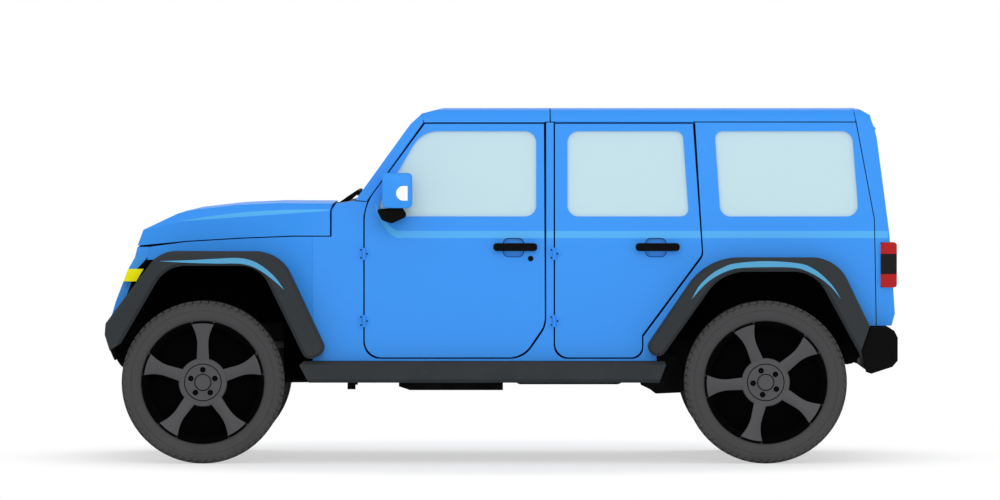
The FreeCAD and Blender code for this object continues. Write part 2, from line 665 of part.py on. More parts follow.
def body_side():
    """Left body side: sill, cowl side, B pillar and rear quarter in one wall with its openings."""
    body = new_body("body_side_left")
    wall = wall_section(S.wall_inner, S.wall_top_inner)
    pad(body, "YZ", [wall], S.tail_line_x - S.side_front_x, S.side_front_x)
    trim(body, "XZ", side_outline())
    front = front_door_outline(FLUSH)
    front[3] = (S.front_door_rear_x, S.rail_z + S.overrun)
    front[4] = (S.front_door_x, S.rail_z + S.overrun)
    front[5] = (S.front_door_x, S.front_door_bend_z)
    cut(body, "XZ", [front])
    rear = rear_door_outline(FLUSH)
    rear[4:] = [(S.rear_door_top_x, S.rail_z), (S.rear_door_top_x, S.rail_z + S.overrun),
                (S.rear_door_x, S.rail_z + S.overrun)]
    cut(body, "XZ", [rear])
    cut(body, "XZ", [quarter_window()])
    cut(body, "XZ", [rear_arch(FLUSH)])
    tail = box_loop(S.arch_rear_top_x, S.sill_bottom_z - S.overrun, S.tail_line_x + S.overrun,
                    S.quarter_bottom_z)
    cut(body, "XZ", [tail])
    hinge_on(body, S.front_door_x + S.shut_gap / 2, -1, False)
    hinge_on(body, S.rear_door_x + S.shut_gap / 2, -1, False)
    keep(body)
    keep(mirrored(body, "body_side_right"))


def door(label, x, outline, window, handle_shift, mirror_seat):
    """A left door as thick as the real one, with its window cut and its handle cup sunk."""
    body = new_body(label)
    inner = wall_section(S.door_inner, S.door_top_inner)
    pad(body, "YZ", [inner], S.rear_door_hip_x - S.front_door_x, S.front_door_x)
    trim(body, "XZ", outline)
    cut(body, "XZ", [window])
    cup = box_loop(S.cup_x + handle_shift, S.cup_z, S.cup_rear_x + handle_shift, S.cup_top_z, S.cup_radius)
    cut(body, "XZ", [cup], S.overrun, S.body_half - S.cup_deep)
    if mirror_seat:
        cut(body, "XZ", [mirror_foot_outline()], S.overrun, S.mirror_seat)
    hinge_on(body, x + S.shut_gap / 2, 1, True)
    keep(body)
    keep(mirrored(body, label.replace("left", "right")))
    return body


def side_glass(label, window, start_x, long):
    """A pane in the plane of the leaning upper body, cut to its window."""
    body = new_body(label)
    top, low = S.body_half - S.lean - S.glass_inset, S.body_half - S.belt_step - S.glass_inset
    pane = [(-low, S.belt_high_z), (-top, S.rail_z), (-(top - S.glass_thick), S.rail_z),
            (-(low - S.glass_thick), S.belt_high_z)]
    pad(body, "YZ", [pane], long, start_x)
    trim(body, "XZ", window)
    return body


def door_fittings(label, shift, with_key):
    """Grab handle on two feet, and the key cylinder on the front doors."""
    body = new_body(label + "_bar" if with_key else label)
    front, rear = S.handle_front_x + shift, S.handle_rear_x + shift
    bar = box_loop(front, S.handle_z, rear, S.handle_top_z, S.handle_radius)
    pad(body, "XZ", [bar], S.handle_thick, S.body_half + S.handle_stand)
    last = rear - S.handle_radius * 2
    for a, b in ((front, front + S.handle_foot), (last - S.handle_foot, last)):
        foot = box_loop(a + S.handle_radius, S.handle_z + S.face_gap, b + S.handle_radius,
                        S.handle_top_z - S.face_gap)
        pad(body, "XZ", [foot], S.handle_stand + S.face_gap, S.body_half)
    if not with_key:
        return body
    key = new_body(label + "_key")
    pad(key, "XZ", [Disc(S.key_x, S.key_z, S.key_radius, HUB_SIDES)], S.key_out, S.body_half)
    return together(label, [body, key])


TURNS = {
    "+Y to -Y": FreeCAD.Rotation(FreeCAD.Vector(1, 0, 0), 90),
    "+Z to +X": FreeCAD.Rotation(FreeCAD.Vector(0, 1, 0), 90),
    "none": FreeCAD.Rotation(),
}


def place(piece, x, y, z, turn="none"):
    """Puts a primitive at vehicle stations. Turned pieces point their own Z to -Y or +X."""
    piece.Placement = FreeCAD.Placement(FreeCAD.Vector(), TURNS[turn])
    bind(piece, "Placement.Base.x", as_length(x) - S.overall_length / 2)
    bind(piece, "Placement.Base.y", as_length(y))
    bind(piece, "Placement.Base.z", as_length(z))
    return piece


def mirror_foot_outline():
    return [
        (S.foot_front_x, S.foot_front_z, S.foot_radius / 2),
        (S.foot_low_x - S.foot_radius * 3, S.foot_low_z + S.foot_radius, S.foot_radius),
        (S.foot_low_x, S.foot_low_z, S.foot_radius),
        (S.foot_rear_x, S.foot_rear_z, S.foot_radius),
        (S.foot_neck_rear_x, S.mirror_z),
        (S.foot_neck_x, S.mirror_z),
        (S.foot_neck_x, S.foot_front_z + S.foot_radius / 4),
    ]


def door_mirror():
    """Mirror head on its arm. The head's rear face is recessed for the glass."""
    body = new_body("door_mirror_left")
    head = box_loop(S.mirror_x, S.mirror_z, S.mirror_rear_x, S.mirror_top_z, S.mirror_radius)
    pad(body, "XZ", [head], S.mirror_outer - S.mirror_inner, S.mirror_inner)
    face = box_loop(-(S.mirror_outer - S.mirror_radius / 2), S.mirror_z + S.mirror_radius / 2,
                    -(S.mirror_inner + S.mirror_radius / 2), S.mirror_top_z - S.mirror_radius / 2,
                    S.mirror_radius / 2)
    cut(body, "YZ", [face], S.overrun, S.mirror_rear_x - S.mirror_radius / 4)
    bevel_edges(body, S.mirror_radius / 3, lambda e: abs(e.CenterOfMass.y + S.mirror_outer.number) < NEAR)
    arm = new_body("mirror_arm_left")
    pad(arm, "XZ", [mirror_foot_outline()], S.foot_outer - S.mirror_seat, S.mirror_seat)
    both = together("mirror_left", [body, arm])
    keep(both)
    keep(mirrored(both, "mirror_right"))


def doors():
    """The four side doors with glass and fittings."""
    gap = S.shut_gap
    no_shift = FLUSH
    door("door_front_left", S.front_door_x, front_door_outline(gap, S.door_relief), front_window(),
         no_shift, True)
    door("door_rear_left", S.rear_door_x, rear_door_outline(gap, S.door_relief), rear_window(),
         S.rear_handle_shift, False)
    panes = [("glass_front", front_window()), ("glass_rear", rear_window())]
    for name, window in panes:
        pane = side_glass(name + "_left", window, S.front_door_x, S.rear_door_hip_x - S.front_door_x)
        keep(pane)
        keep(mirrored(pane, name + "_right"))
    for name, shift, with_key in (("handle_front", no_shift, True),
                                  ("handle_rear", S.rear_handle_shift, False)):
        piece = door_fittings(name + "_left", shift, with_key)
        keep(piece)
        keep(mirrored(piece, name + "_right"))
    door_mirror()


def screen():
    """Windscreen frame, its glass and the quarter glass."""
    frame = new_body("windscreen_frame")
    strip = [
        (S.screen_nose_x, S.screen_nose_z), (S.screen_foot_x, S.screen_foot_z),
        (S.screen_top_x, S.rail_z), (S.screen_crest_x, S.screen_crest_z),
        (S.screen_head_x, S.screen_head_z, S.screen_head_radius),
        (S.screen_face_x, S.screen_face_z),
    ]
    pad(frame, "XZ", [strip], S.body_half * 2, None, True)
    trim(frame, "YZ", outer_section())
    opening = [
        (-S.screen_open_half, S.screen_open_z, S.window_radius),
        (S.screen_open_half, S.screen_open_z, S.window_radius),
        (S.screen_open_top_half, S.screen_open_top_z, S.window_radius),
        (-S.screen_open_top_half, S.screen_open_top_z, S.window_radius),
    ]
    cut(frame, "YZ", [opening])
    keep(frame)
    pane = new_body("windscreen_pane")
    front, back = S.screen_glass_set, S.screen_glass_set + S.screen_glass_thick
    slab = [
        (S.screen_face_x + front, S.screen_face_z), (S.screen_face_x + back, S.screen_face_z),
        (S.screen_head_x + back, S.screen_head_z), (S.screen_head_x + front, S.screen_head_z),
    ]
    pad(pane, "XZ", [slab], S.body_half * 2, None, True)
    trim(pane, "YZ", opening)
    quarter = side_glass("quarter_pane", quarter_window(), S.rear_door_x, S.tail_line_x - S.rear_door_x)
    keep(together("fixed_glass", [pane, quarter, mirrored(quarter, "quarter_pane_right")]))


def roof_shell(label, side):
    """A roof panel between two stations: the crowned skin with its side rails."""
    body = new_body(label)
    inner_half = S.wall_top_inner - S.face_gap
    inner_edge = S.roof_edge_z - S.roof_skin
    outer = outer_section()
    shell = outer[3:8] + [
        (inner_half, S.rail_z), (inner_half, S.drip_z), (inner_half - S.drip_thick, S.drip_z),
        (inner_half - S.drip_thick, inner_edge, S.roof_edge_radius - S.roof_skin),
        (-(inner_half - S.drip_thick), inner_edge, S.roof_edge_radius - S.roof_skin),
        (-(inner_half - S.drip_thick), S.drip_z), (-inner_half, S.drip_z), (-inner_half, S.rail_z),
    ]
    length = side[1][0] - side[0][0] + S.overrun * 2
    pad(body, "YZ", [shell], length, side[0][0] - S.overrun)
    trim(body, "XZ", side)
    keep(body)


def roofs():
    """Front roof panel and the rear hard top, split where the real panels meet."""
    half = S.roof_seam / 2
    up = S.roof_z + S.overrun
    front = [
        (S.screen_crest_x, S.rail_z - S.overrun), (S.roof_split_x - half, S.rail_z - S.overrun),
        (S.roof_split_x - half, up), (S.roof_crest_x * 2 - S.screen_crest_x, up),
        (S.roof_crest_x * 2 - S.screen_crest_x, S.roof_z * 2 - S.screen_crest_z),
        (S.screen_crest_x, S.screen_crest_z), (S.screen_top_x, S.rail_z),
        (S.screen_top_x, S.rail_z - S.overrun),
    ]
    roof_shell("roof_front", front)
    rear = [
        (S.roof_split_x + half, S.rail_z - S.overrun), (S.tail_line_top_x, S.rail_z - S.overrun),
        (S.tail_line_top_x, S.rail_z), (S.tail_roof_x * 2 - S.tail_line_top_x, S.roof_z * 2 - S.rail_z),
        (S.roof_split_x + half, S.roof_z * 2 - S.rail_z),
    ]
    roof_shell("roof_rear", rear)


def tail_frame():
    """Rear pillars and sill round the tailgate and the hatch glass."""
    body = new_body("tail_frame")
    side = [
        (S.tail_line_x, S.quarter_bottom_z), (S.tail_foot_x, S.quarter_bottom_z),
        (S.tail_low_x, S.tail_low_z),
        (S.tail_hip_x, S.tail_hip_z, S.tail_hip_radius),
        (S.tail_bulge_x, S.tail_bulge_z, S.tail_bulge_radius),
        (S.tail_under_x, S.tail_under_z), (S.tail_lip_end_x, S.tail_lip_end_z), (S.tail_lip_x, S.roof_z),
        (S.tail_roof_x, S.roof_z), (S.tail_line_top_x, S.rail_z), (S.tail_line_mid_x, S.tail_line_mid_z),
    ]
    pad(body, "XZ", [side], S.body_half * 2, None, True)
    trim(body, "YZ", outer_section())
    gap = S.shut_gap
    opening = [
        (-(S.gate_half + gap), S.gate_sill_z - gap), (S.gate_half + gap, S.gate_sill_z - gap),
        (S.gate_half + gap, S.gate_top_z),
        (S.hatch_top_half + gap, S.hatch_top_z, S.opening_radius),
        (-(S.hatch_top_half + gap), S.hatch_top_z, S.opening_radius),
        (-(S.gate_half + gap), S.gate_top_z),
    ]
    cut(body, "YZ", [opening])
    reach = S.gate_half + S.shut_gap + S.gate_leaf
    recess = box_loop(-reach, S.quarter_bottom_z - S.overrun, reach, S.gate_top_z)
    cut(body, "YZ", [recess], S.overrun, S.gate_face_x)
    for sign in (-1, 1):
        notch = box_loop(min_of(sign * (S.body_half + S.overrun), sign * (S.body_half - S.tail_lamp_width)),
                         S.tail_lamp_z, max_of(sign * (S.body_half + S.overrun),
                                               sign * (S.body_half - S.tail_lamp_width)), S.tail_lamp_top_z)
        cut(body, "YZ", [notch], S.overrun * 3, S.tail_lamp_x)
    knuckles(body, False)
    root = [(S.tail_under_x - S.belt_step, S.tail_under_z - S.belt_step), (S.tail_under_x, S.tail_under_z)]
    for y in (S.hatch_hinge_y, -S.hatch_hinge_y):
        cross_hinge(body, S.hatch_hinge_x, S.hatch_hinge_z, y, S.hatch_hinge_radius, root, False)
    keep(body)


def tail_lamp_outline():
    return box_loop(S.tail_lamp_x, S.tail_lamp_z, S.overall_length - S.face_gap * 2, S.tail_lamp_top_z,
                    S.tail_lamp_radius)


def tail_lamps():
    """Lamp blocks that wrap the rear corners."""
    body = new_body("tail_lamp")
    pad(body, "XZ", [tail_lamp_outline()], S.tail_lamp_width + S.tail_lamp_out,
        S.body_half - S.tail_lamp_width)
    keep(pair("tail_lamps", body))


def knuckles(body, door_half):
    """The tailgate's two exposed hinges on its right edge."""
    x, y = S.gate_hinge_x, S.gate_half + S.shut_gap / 2
    lug = S.hinge_knuckle / 2 - S.hinge_play
    half = S.hinge_high / 2
    block = S.hinge_radius
    if door_half:
        low = S.hinge_low_z + S.gate_leaf - lug
        leaf = box_loop(S.gate_face_x - block, y - S.gate_leaf, x, y)
        made = [pad(body, "XY", [leaf], lug * 2, low),
                pad(body, "XY", [Disc(x, y, block, SMALL_SIDES)], lug * 2, low),
                cut(body, "XY", [Disc(x, y, S.hinge_bore)], lug * 2 + S.overrun, low - S.overrun / 2)]
    else:
        low = S.hinge_low_z + S.gate_leaf - half
        ends = half - S.hinge_knuckle / 2
        leaf = box_loop(S.gate_face_x - block, y + S.shut_gap / 2 - S.face_gap, x, y + S.gate_leaf)
        join = box_loop(x - block / 2, y, x + block / 2, y + S.gate_leaf)
        made = []
        for base in (low, S.hinge_low_z + S.gate_leaf + S.hinge_knuckle / 2):
            made.append(pad(body, "XY", [leaf], ends, base))
            made.append(pad(body, "XY", [join], ends, base))
            made.append(pad(body, "XY", [Disc(x, y, block, SMALL_SIDES)], ends, base))
        made.append(pad(body, "XY", [Disc(x, y, S.hinge_pin)], S.hinge_high, low))
    row(body, made, "Z_Axis", S.hinge_spacing, 2)


def tailgate():
    """Side-hinged tailgate with a pressed panel and its pull."""
    body = new_body("tailgate")
    face = box_loop(-S.gate_half, S.gate_sill_z, S.gate_half, S.gate_top_z - S.shut_gap, S.tail_lamp_radius)
    pad(body, "YZ", [face], S.gate_thick, S.gate_face_x - S.gate_thick)
    panel = box_loop(-S.gate_rib_half, S.gate_rib_low_z, S.gate_rib_half, S.gate_rib_high_z,
                     S.opening_radius)
    cut(body, "YZ", [panel], S.overrun, S.gate_face_x - S.gate_rib)
    pull = box_loop(-(S.gate_handle_y + S.gate_handle_half), S.gate_handle_z,
                    -(S.gate_handle_y - S.gate_handle_half), S.gate_handle_z + S.gate_handle_high,
                    S.handle_radius - S.face_gap)
    pad(body, "YZ", [pull], S.gate_rib + S.gate_handle_out, S.gate_face_x - S.gate_rib - S.face_gap)
    knuckles(body, True)
    keep(body)


def hatch():
    """Lift-up rear glass in the upper part of the tail opening, hung from two knuckles."""
    body = new_body("hatch_glass")
    thick = S.hatch_glass_thick
    low_z, top_z = S.gate_top_z + S.face_gap, S.hatch_top_z - S.shut_gap
    slab = [
        (S.gate_face_x - thick * 2, low_z), (S.gate_face_x - thick, low_z),
        (S.tail_bulge_x, top_z), (S.tail_bulge_x - thick, top_z),
    ]
    pad(body, "XZ", [slab], S.gate_half * 2, None, True)
    outline = [
        (-S.gate_half, low_z), (S.gate_half, low_z),
        (S.hatch_top_half, top_z, S.opening_radius), (-S.hatch_top_half, top_z, S.opening_radius),
    ]
    trim(body, "YZ", outline)
    root = [(S.tail_bulge_x + thick / 2, S.hatch_ear_z), (S.tail_bulge_x, S.hatch_ear_z)]
    for y in (S.hatch_hinge_y, -S.hatch_hinge_y):
        cross_hinge(body, S.hatch_hinge_x, S.hatch_hinge_z, y, S.hatch_hinge_radius, root, True)
    keep(body)


def hood_line(drop=0):
    """The lower edge of the hood from front to rear."""
    return [(S.hood_line_x, S.hood_line_z + drop), (S.hood_line_a_x, S.hood_line_a_z + drop),
            (S.hood_line_b_x, S.hood_line_b_z + drop), (S.hood_line_c_x, S.hood_line_z_rear + drop)]


def hood_plan(inset):
    """The hood seen from above, taken in by inset at its sides."""
    front, rear = S.hood_line_x - S.overrun, S.hood_peak_x + S.overrun
    right = [
        (front, S.hood_front_half - inset), (S.hood_line_x, S.hood_front_half - inset),
        (S.side_front_x, S.hood_rear_half - inset), (rear, S.hood_rear_half - inset),
    ]
    return [(x, -y) for x, y in right] + list(reversed(right))


def hood():
    """Hood with its side view's crown, bevelled shoulders and hollow underside."""
    body = new_body("hood")
    gap, skin = S.hood_gap, S.hood_skin
    rear_x = S.hood_rear_x - gap
    crown = [(S.bulge_c_x, S.bulge_c_z), (S.bulge_b_x, S.bulge_b_z), (S.bulge_a_x, S.bulge_a_z),
             (S.bulge_foot_x, S.bulge_foot_z), (S.hood_brow_x, S.hood_brow_z)]
    side = hood_line(gap) + [(rear_x, S.hood_line_z_rear + gap), (rear_x, S.hood_rear_z),
                             (S.hood_peak_x, S.hood_peak_z)] + crown + [(S.hood_lip_x, S.hood_lip_z)]
    pad(body, "XZ", [side], S.hood_rear_half * 2, None, True)
    trim(body, "XY", hood_plan(0))
    bevel_edges(body, S.hood_shoulder, is_hood_shoulder)
    inside = [(rear_x - skin, S.hood_line_z), (rear_x - skin, S.bulge_c_z - skin)]
    inside += [(x, z - skin) for x, z in crown[:-1]]
    inside += [(S.hood_brow_x + skin, S.hood_brow_z - skin), (S.hood_brow_x + skin, S.hood_line_z)]
    cut(body, "XZ", [inside], (S.hood_front_half - S.hood_shoulder) * 2, None, True)
    plan = hood_plan(skin)
    plan[0:2] = [(S.hood_brow_x + skin, plan[1][1])]
    plan[-2:] = [(S.hood_brow_x + skin, plan[-2][1])]
    plan = [(x if x.number < rear_x.number else rear_x - skin, y) for x, y in plan]
    cut(body, "XY", [plan], S.hood_brow_z - skin * 2 - S.section_base_z, S.section_base_z)
    root = [(rear_x - skin / 2, S.hood_rear_z - skin / 2), (rear_x - skin / 2, S.hood_rear_z)]
    for y in (S.hood_hinge_y, -S.hood_hinge_y):
        cross_hinge(body, S.hood_hinge_x, S.hood_hinge_z, y, S.hood_hinge_radius, root, True)
    keep(body)


def is_hood_shoulder(edge):
    """The hood's long upper side edges behind its brow."""
    box, middle = edge.BoundBox, edge.CenterOfMass
    return (box.XMin > S.bulge_foot_x.number - 1 and box.XLength > box.ZLength and box.XLength > box.YLength
            and abs(middle.y) > S.hood_front_half.number and middle.z > S.bulge_foot_z.number - 1)


def wing_half(x):
    """Half width of the hood and wings at a station."""
    if x.number > S.side_front_x.number:
        return S.hood_rear_half
    share = (x - S.hood_line_x) / (S.side_front_x - S.hood_line_x)
    return S.hood_front_half + (S.hood_rear_half - S.hood_front_half) * share


def wings():
    """Blue side panels between the hood line and the wheel openings."""
    body = new_body("wing_left")
    front, rear = S.hood_line_x, S.side_front_x
    strip = [
        (front, -wing_half(front)), (rear, -wing_half(rear)),
        (rear, -(wing_half(rear) - S.wing_thick)), (front, -(wing_half(front) - S.wing_thick)),
    ]
    pad(body, "XY", [strip], S.hood_line_z_rear - S.section_base_z, S.section_base_z)
    face = S.nose_top_deep + S.face_gap
    side = [
        (S.nose_d_x + face, S.nose_d_z), (S.wing_front_x, S.front_arch_top_z),
        (S.front_arch_rear_top_x, S.front_arch_top_z), (S.side_front_x - S.wing_thick, S.front_arch_bend_z),
        (rear, S.front_arch_bend_z), (rear, S.hood_line_z_rear), (S.hood_line_c_x, S.hood_line_z_rear),
        (S.hood_line_b_x, S.hood_line_b_z), (S.hood_line_a_x, S.hood_line_a_z),
        (S.hood_line_x + face, S.hood_line_z), (S.hood_line_x + face, S.nose_top_z),
    ]
    trim(body, "XZ", side)
    cut(body, "XZ", [front_arch(FLUSH)])
    keep(pair("front_wings", body))


def nose_front():
    return [
        (S.nose_foot_x, S.nose_foot_z), (S.nose_a_x, S.nose_a_z), (S.nose_b_x, S.nose_b_z),
        (S.nose_c_x, S.nose_c_z), (S.nose_d_x, S.nose_d_z), (S.hood_line_x, S.nose_top_z),
    ]


def nose_back(deep, top_deep):
    """The nose's own outline moved back, from the top down."""
    return [
        (S.hood_line_x + top_deep, S.nose_top_z), (S.nose_d_x + top_deep, S.nose_d_z),
        (S.nose_c_x + deep, S.nose_c_z), (S.nose_b_x + deep, S.nose_b_z), (S.nose_a_x + deep, S.nose_a_z),
        (S.nose_foot_x + deep, S.nose_foot_z),
    ]


def nose():
    """Grille panel with slats and lamp openings, the black carrier behind it and the headlamps."""
    body = new_body("grille_panel")
    pad(body, "XZ", [nose_front() + nose_back(S.nose_deep, S.nose_top_deep)], S.hood_front_half * 2,
        None, True)
    mouth = box_loop(-S.grille_half, S.grille_low_z, S.grille_half, S.grille_high_z, S.grille_radius)
    cut(body, "YZ", [mouth, Disc(-S.lamp_y, S.lamp_z, S.lamp_radius, HUB_SIDES * 2),
                       Disc(S.lamp_y, S.lamp_z, S.lamp_radius, HUB_SIDES * 2)])
    pitch = (S.grille_high_z - S.grille_low_z) / (SIZES["slat_count"] + 1)
    keep(body)
    carrier = new_body("carrier_panel")
    front = list(reversed(nose_back(S.nose_deep, S.nose_top_deep)))
    back = nose_back(S.nose_deep + S.carrier_deep, S.nose_top_deep + S.carrier_deep)
    pad(carrier, "XZ", [front + back], S.carrier_half * 2, None, True)
    keep(carrier)
    lamp = new_body("headlamp")
    face = [
        (S.nose_foot_x, S.nose_foot_z), (S.nose_a_x, S.nose_a_z), (S.nose_b_x, S.nose_b_z),
        (S.nose_c_x, S.nose_c_z), (S.nose_d_x, S.nose_d_z), (S.hood_line_x, S.nose_top_z),
    ]
    pad(lamp, "XZ", [face + nose_back(S.nose_deep, S.nose_top_deep)], S.lamp_radius * 2,
        S.lamp_y - S.lamp_radius)
    trim(lamp, "YZ", Disc(-S.lamp_y, S.lamp_z, S.lamp_radius, HUB_SIDES * 2))
    keep(pair("headlamps", lamp))
    grille = new_body("grille_slats")
    pad(grille, "XZ", [nose_front() + nose_back(S.nose_deep, S.nose_top_deep)], S.grille_half * 2, None,
        True)
    bars = []
    for number in range(SIZES["slat_count"]):
        z = S.grille_low_z + pitch * (number + 1)
        bars.append(box_loop(-S.grille_half - S.overrun, z - S.slat_high / 2, S.grille_half + S.overrun,
                             z + S.slat_high / 2))
    cut(grille, "YZ", [frame_loop()] + bars)
    keep(grille)


def markers():
    """Side marker lamps on the front flares' leading faces."""
    body = new_body("marker")
    outline = [
        (S.marker_low_front_x, S.marker_low_z), (S.marker_low_rear_x, S.marker_low_z),
        (S.marker_high_rear_x, S.marker_high_z), (S.marker_high_front_x, S.marker_high_z),
    ]
    pad(body, "XZ", [outline], S.marker_out, S.hood_front_half)
    keep(pair("marker_lamps", body))


def front_flare_outline():
    return [
        (S.front_flare_in_x, S.front_flare_in_z), (S.front_flare_tip_x, S.front_flare_tip_z),
        (S.front_flare_chin_x, S.front_flare_chin_z), (S.front_flare_nose_x, S.front_flare_nose_z),
        (S.front_flare_top_x, S.front_flare_top_z, S.front_flare_top_radius),
        (S.front_flare_rear_top_x, S.front_flare_top_z, S.front_flare_rear_radius),
        (S.front_flare_heel_x, S.front_flare_heel_z, S.flare_end_radius),
        (S.front_flare_toe_x, S.front_flare_toe_z, S.flare_end_radius),
        (S.front_flare_under_x, S.front_flare_under_z, S.front_flare_under_radius),
        (S.front_flare_under_front_x, S.front_flare_under_z, S.front_flare_under_front_radius),
    ]


def rear_flare_outline():
    return [
        (S.rear_flare_heel_x, S.rear_flare_heel_z, S.flare_end_radius),
        (S.rear_flare_toe_x, S.rear_flare_toe_z, S.flare_end_radius),
        (S.rear_flare_under_x, S.rear_flare_under_z, S.rear_flare_under_radius),
        (S.rear_flare_under_rear_x, S.rear_flare_under_z, S.rear_flare_under_rear_radius),
        (S.rear_flare_low_x, S.rear_flare_low_z), (S.rear_flare_foot_x, S.rear_flare_foot_z),
        (S.rear_flare_end_x, S.rear_flare_end_z),
        (S.rear_flare_rear_top_x, S.rear_flare_top_z, S.rear_flare_rear_radius),
        (S.rear_flare_top_x, S.rear_flare_top_z, S.rear_flare_top_radius),
    ]


def flares():
    """The four wheel-arch flares: a deep outer lip and a solid root on the body."""
    front = new_body("front_flare")
    pad(front, "XZ", [front_flare_outline()], S.flare_half - S.hood_front_half, S.hood_front_half)
    wing_rear = wing_half(S.side_front_x)
    plan = [
        (-S.overrun, -S.hood_front_half), (S.hood_line_x, -S.hood_front_half), (S.side_front_x, -wing_rear),
        (S.side_front_x, -S.body_half), (S.rail_rear_x, -S.body_half),
        (S.rail_rear_x, -S.flare_half - S.overrun), (-S.overrun, -S.flare_half - S.overrun),
    ]
    trim(front, "XY", plan)
    none = FLUSH
    cut(front, "XZ", [front_arch(none)], S.liner_outer + S.face_gap, none)
    outer = -S.flare_half.number
    bevel_edges(front, S.flare_edge_radius, lambda e: on_flare_rim(e, outer, S.front_flare_top_z.number))
    keep(pair("front_flares", front))
    rear = new_body("rear_flare")
    pad(rear, "XZ", [rear_flare_outline()], S.flare_half - S.body_half, S.body_half)
    bevel_edges(rear, S.flare_edge_radius, lambda e: on_flare_rim(e, outer, S.rear_flare_top_z.number))
    keep(pair("rear_flares", rear))


def on_flare_rim(edge, outer, top):
    """The outer upper edge of a flare and the two arcs that run on from it."""
    box = edge.BoundBox
    return (abs(box.YMin - outer) < NEAR and abs(box.YMax - outer) < NEAR and abs(box.ZMax - top) < NEAR)


def liners():
    """Black wheel-house liners inside the arches."""
    skin = S.liner_skin
    none = FLUSH
    front = new_body("front_liner")
    pad(front, "XZ", [front_arch(none)], S.liner_outer - S.liner_inner, S.liner_inner)
    inside = front_arch(-skin)
    inside[3:] = [
        (S.front_arch_rear_x - skin, S.front_arch_bend_z), (S.front_arch_rear_x - skin, S.section_base_z),
        (-S.overrun, S.section_base_z), (-S.overrun, S.front_arch_foot_z - S.overrun),
    ]
    cut(front, "XZ", [inside], S.liner_outer, S.liner_inner + skin)
    base = box_loop(-S.overrun, S.section_base_z - S.overrun, S.liner_apron_x, S.liner_wall_z)
    cut(front, "XZ", [base], S.liner_leg_inner - S.liner_inner + S.overrun, S.liner_inner - S.overrun)
    low = box_loop(-S.overrun, S.section_base_z - S.overrun, S.front_axle_x, S.front_arch_foot_z)
    cut(front, "XZ", [low])
    rear = new_body("rear_liner")
    outline = rear_arch(none)
    outline[0] = (S.sill_end_x, S.rear_liner_base_z)
    outline[-1] = (S.arch_rear_x, S.rear_liner_base_z)
    pad(rear, "XZ", [outline], S.liner_outer - S.rear_liner_inner, S.rear_liner_inner)
    cut(rear, "XZ", [rear_arch(-skin)], S.liner_outer, S.rear_liner_inner + skin)
    base = box_loop(S.rear_door_x, S.section_base_z - S.overrun, S.overall_length,
                    S.cargo_z - S.floor_thick)
    cut(rear, "XZ", [base], S.overrun + skin, S.rear_liner_inner - S.overrun)
    tail = box_loop(S.arch_rear_top_x, S.section_base_z - S.overrun, S.overall_length, S.quarter_bottom_z)
    cut(rear, "XZ", [tail])
    keep(together("wheel_liners", [front, mirrored(front, "front_liner_right"), rear,
                                   mirrored(rear, "rear_liner_right")]))


def tub():
    """Cowl, firewall, toe board, cabin floor and cargo floor as one bent sheet."""
    body = new_body("floor_tub")
    wall, skin = S.firewall_thick, S.floor_thick
    sheet = [
        (S.firewall_x, S.cowl_top_z), (S.firewall_x, S.firewall_foot_z), (S.floor_front_x, S.floor_z),
        (S.floor_step_x, S.floor_z), (S.floor_rise_x, S.cargo_z), (S.tail_line_mid_x, S.cargo_z),
        (S.tail_line_mid_x, S.cargo_z + skin), (S.floor_rise_x - skin, S.cargo_z + skin),
        (S.floor_step_x - skin, S.floor_z + skin), (S.floor_front_x + skin / 2, S.floor_z + skin),
        (S.firewall_x + wall, S.firewall_foot_z + skin / 2), (S.firewall_x + wall, S.cowl_top_z - skin),
        (S.screen_foot_x - wall / 2, S.screen_foot_z - skin), (S.screen_foot_x - wall / 2, S.screen_foot_z),
        (S.screen_nose_x, S.screen_nose_z),
    ]
    pad(body, "XZ", [sheet], S.wall_inner * 2, None, True)
    inner = [
        (-S.wall_inner, S.section_base_z), (-S.wall_inner, S.belt_high_z), (-S.wall_top_inner, S.rail_z),
        (S.wall_top_inner, S.rail_z), (S.wall_inner, S.belt_high_z), (S.wall_inner, S.section_base_z),
    ]
    trim(body, "YZ", inner)
    back_x = S.firewall_x + wall / 2
    root = [(back_x, S.hood_hinge_z - S.hood_hinge_radius), (back_x, S.hood_hinge_z + S.hood_hinge_radius)]
    for y in (S.hood_hinge_y, -S.hood_hinge_y):
        cross_hinge(body, S.hood_hinge_x, S.hood_hinge_z, y, S.hood_hinge_radius, root, False)
    none = FLUSH
    for start in (S.rear_liner_inner, -(S.wall_inner + S.overrun)):
        cut(body, "XZ", [rear_arch(none)], S.wall_inner + S.overrun - S.rear_liner_inner, start)
    keep(body)


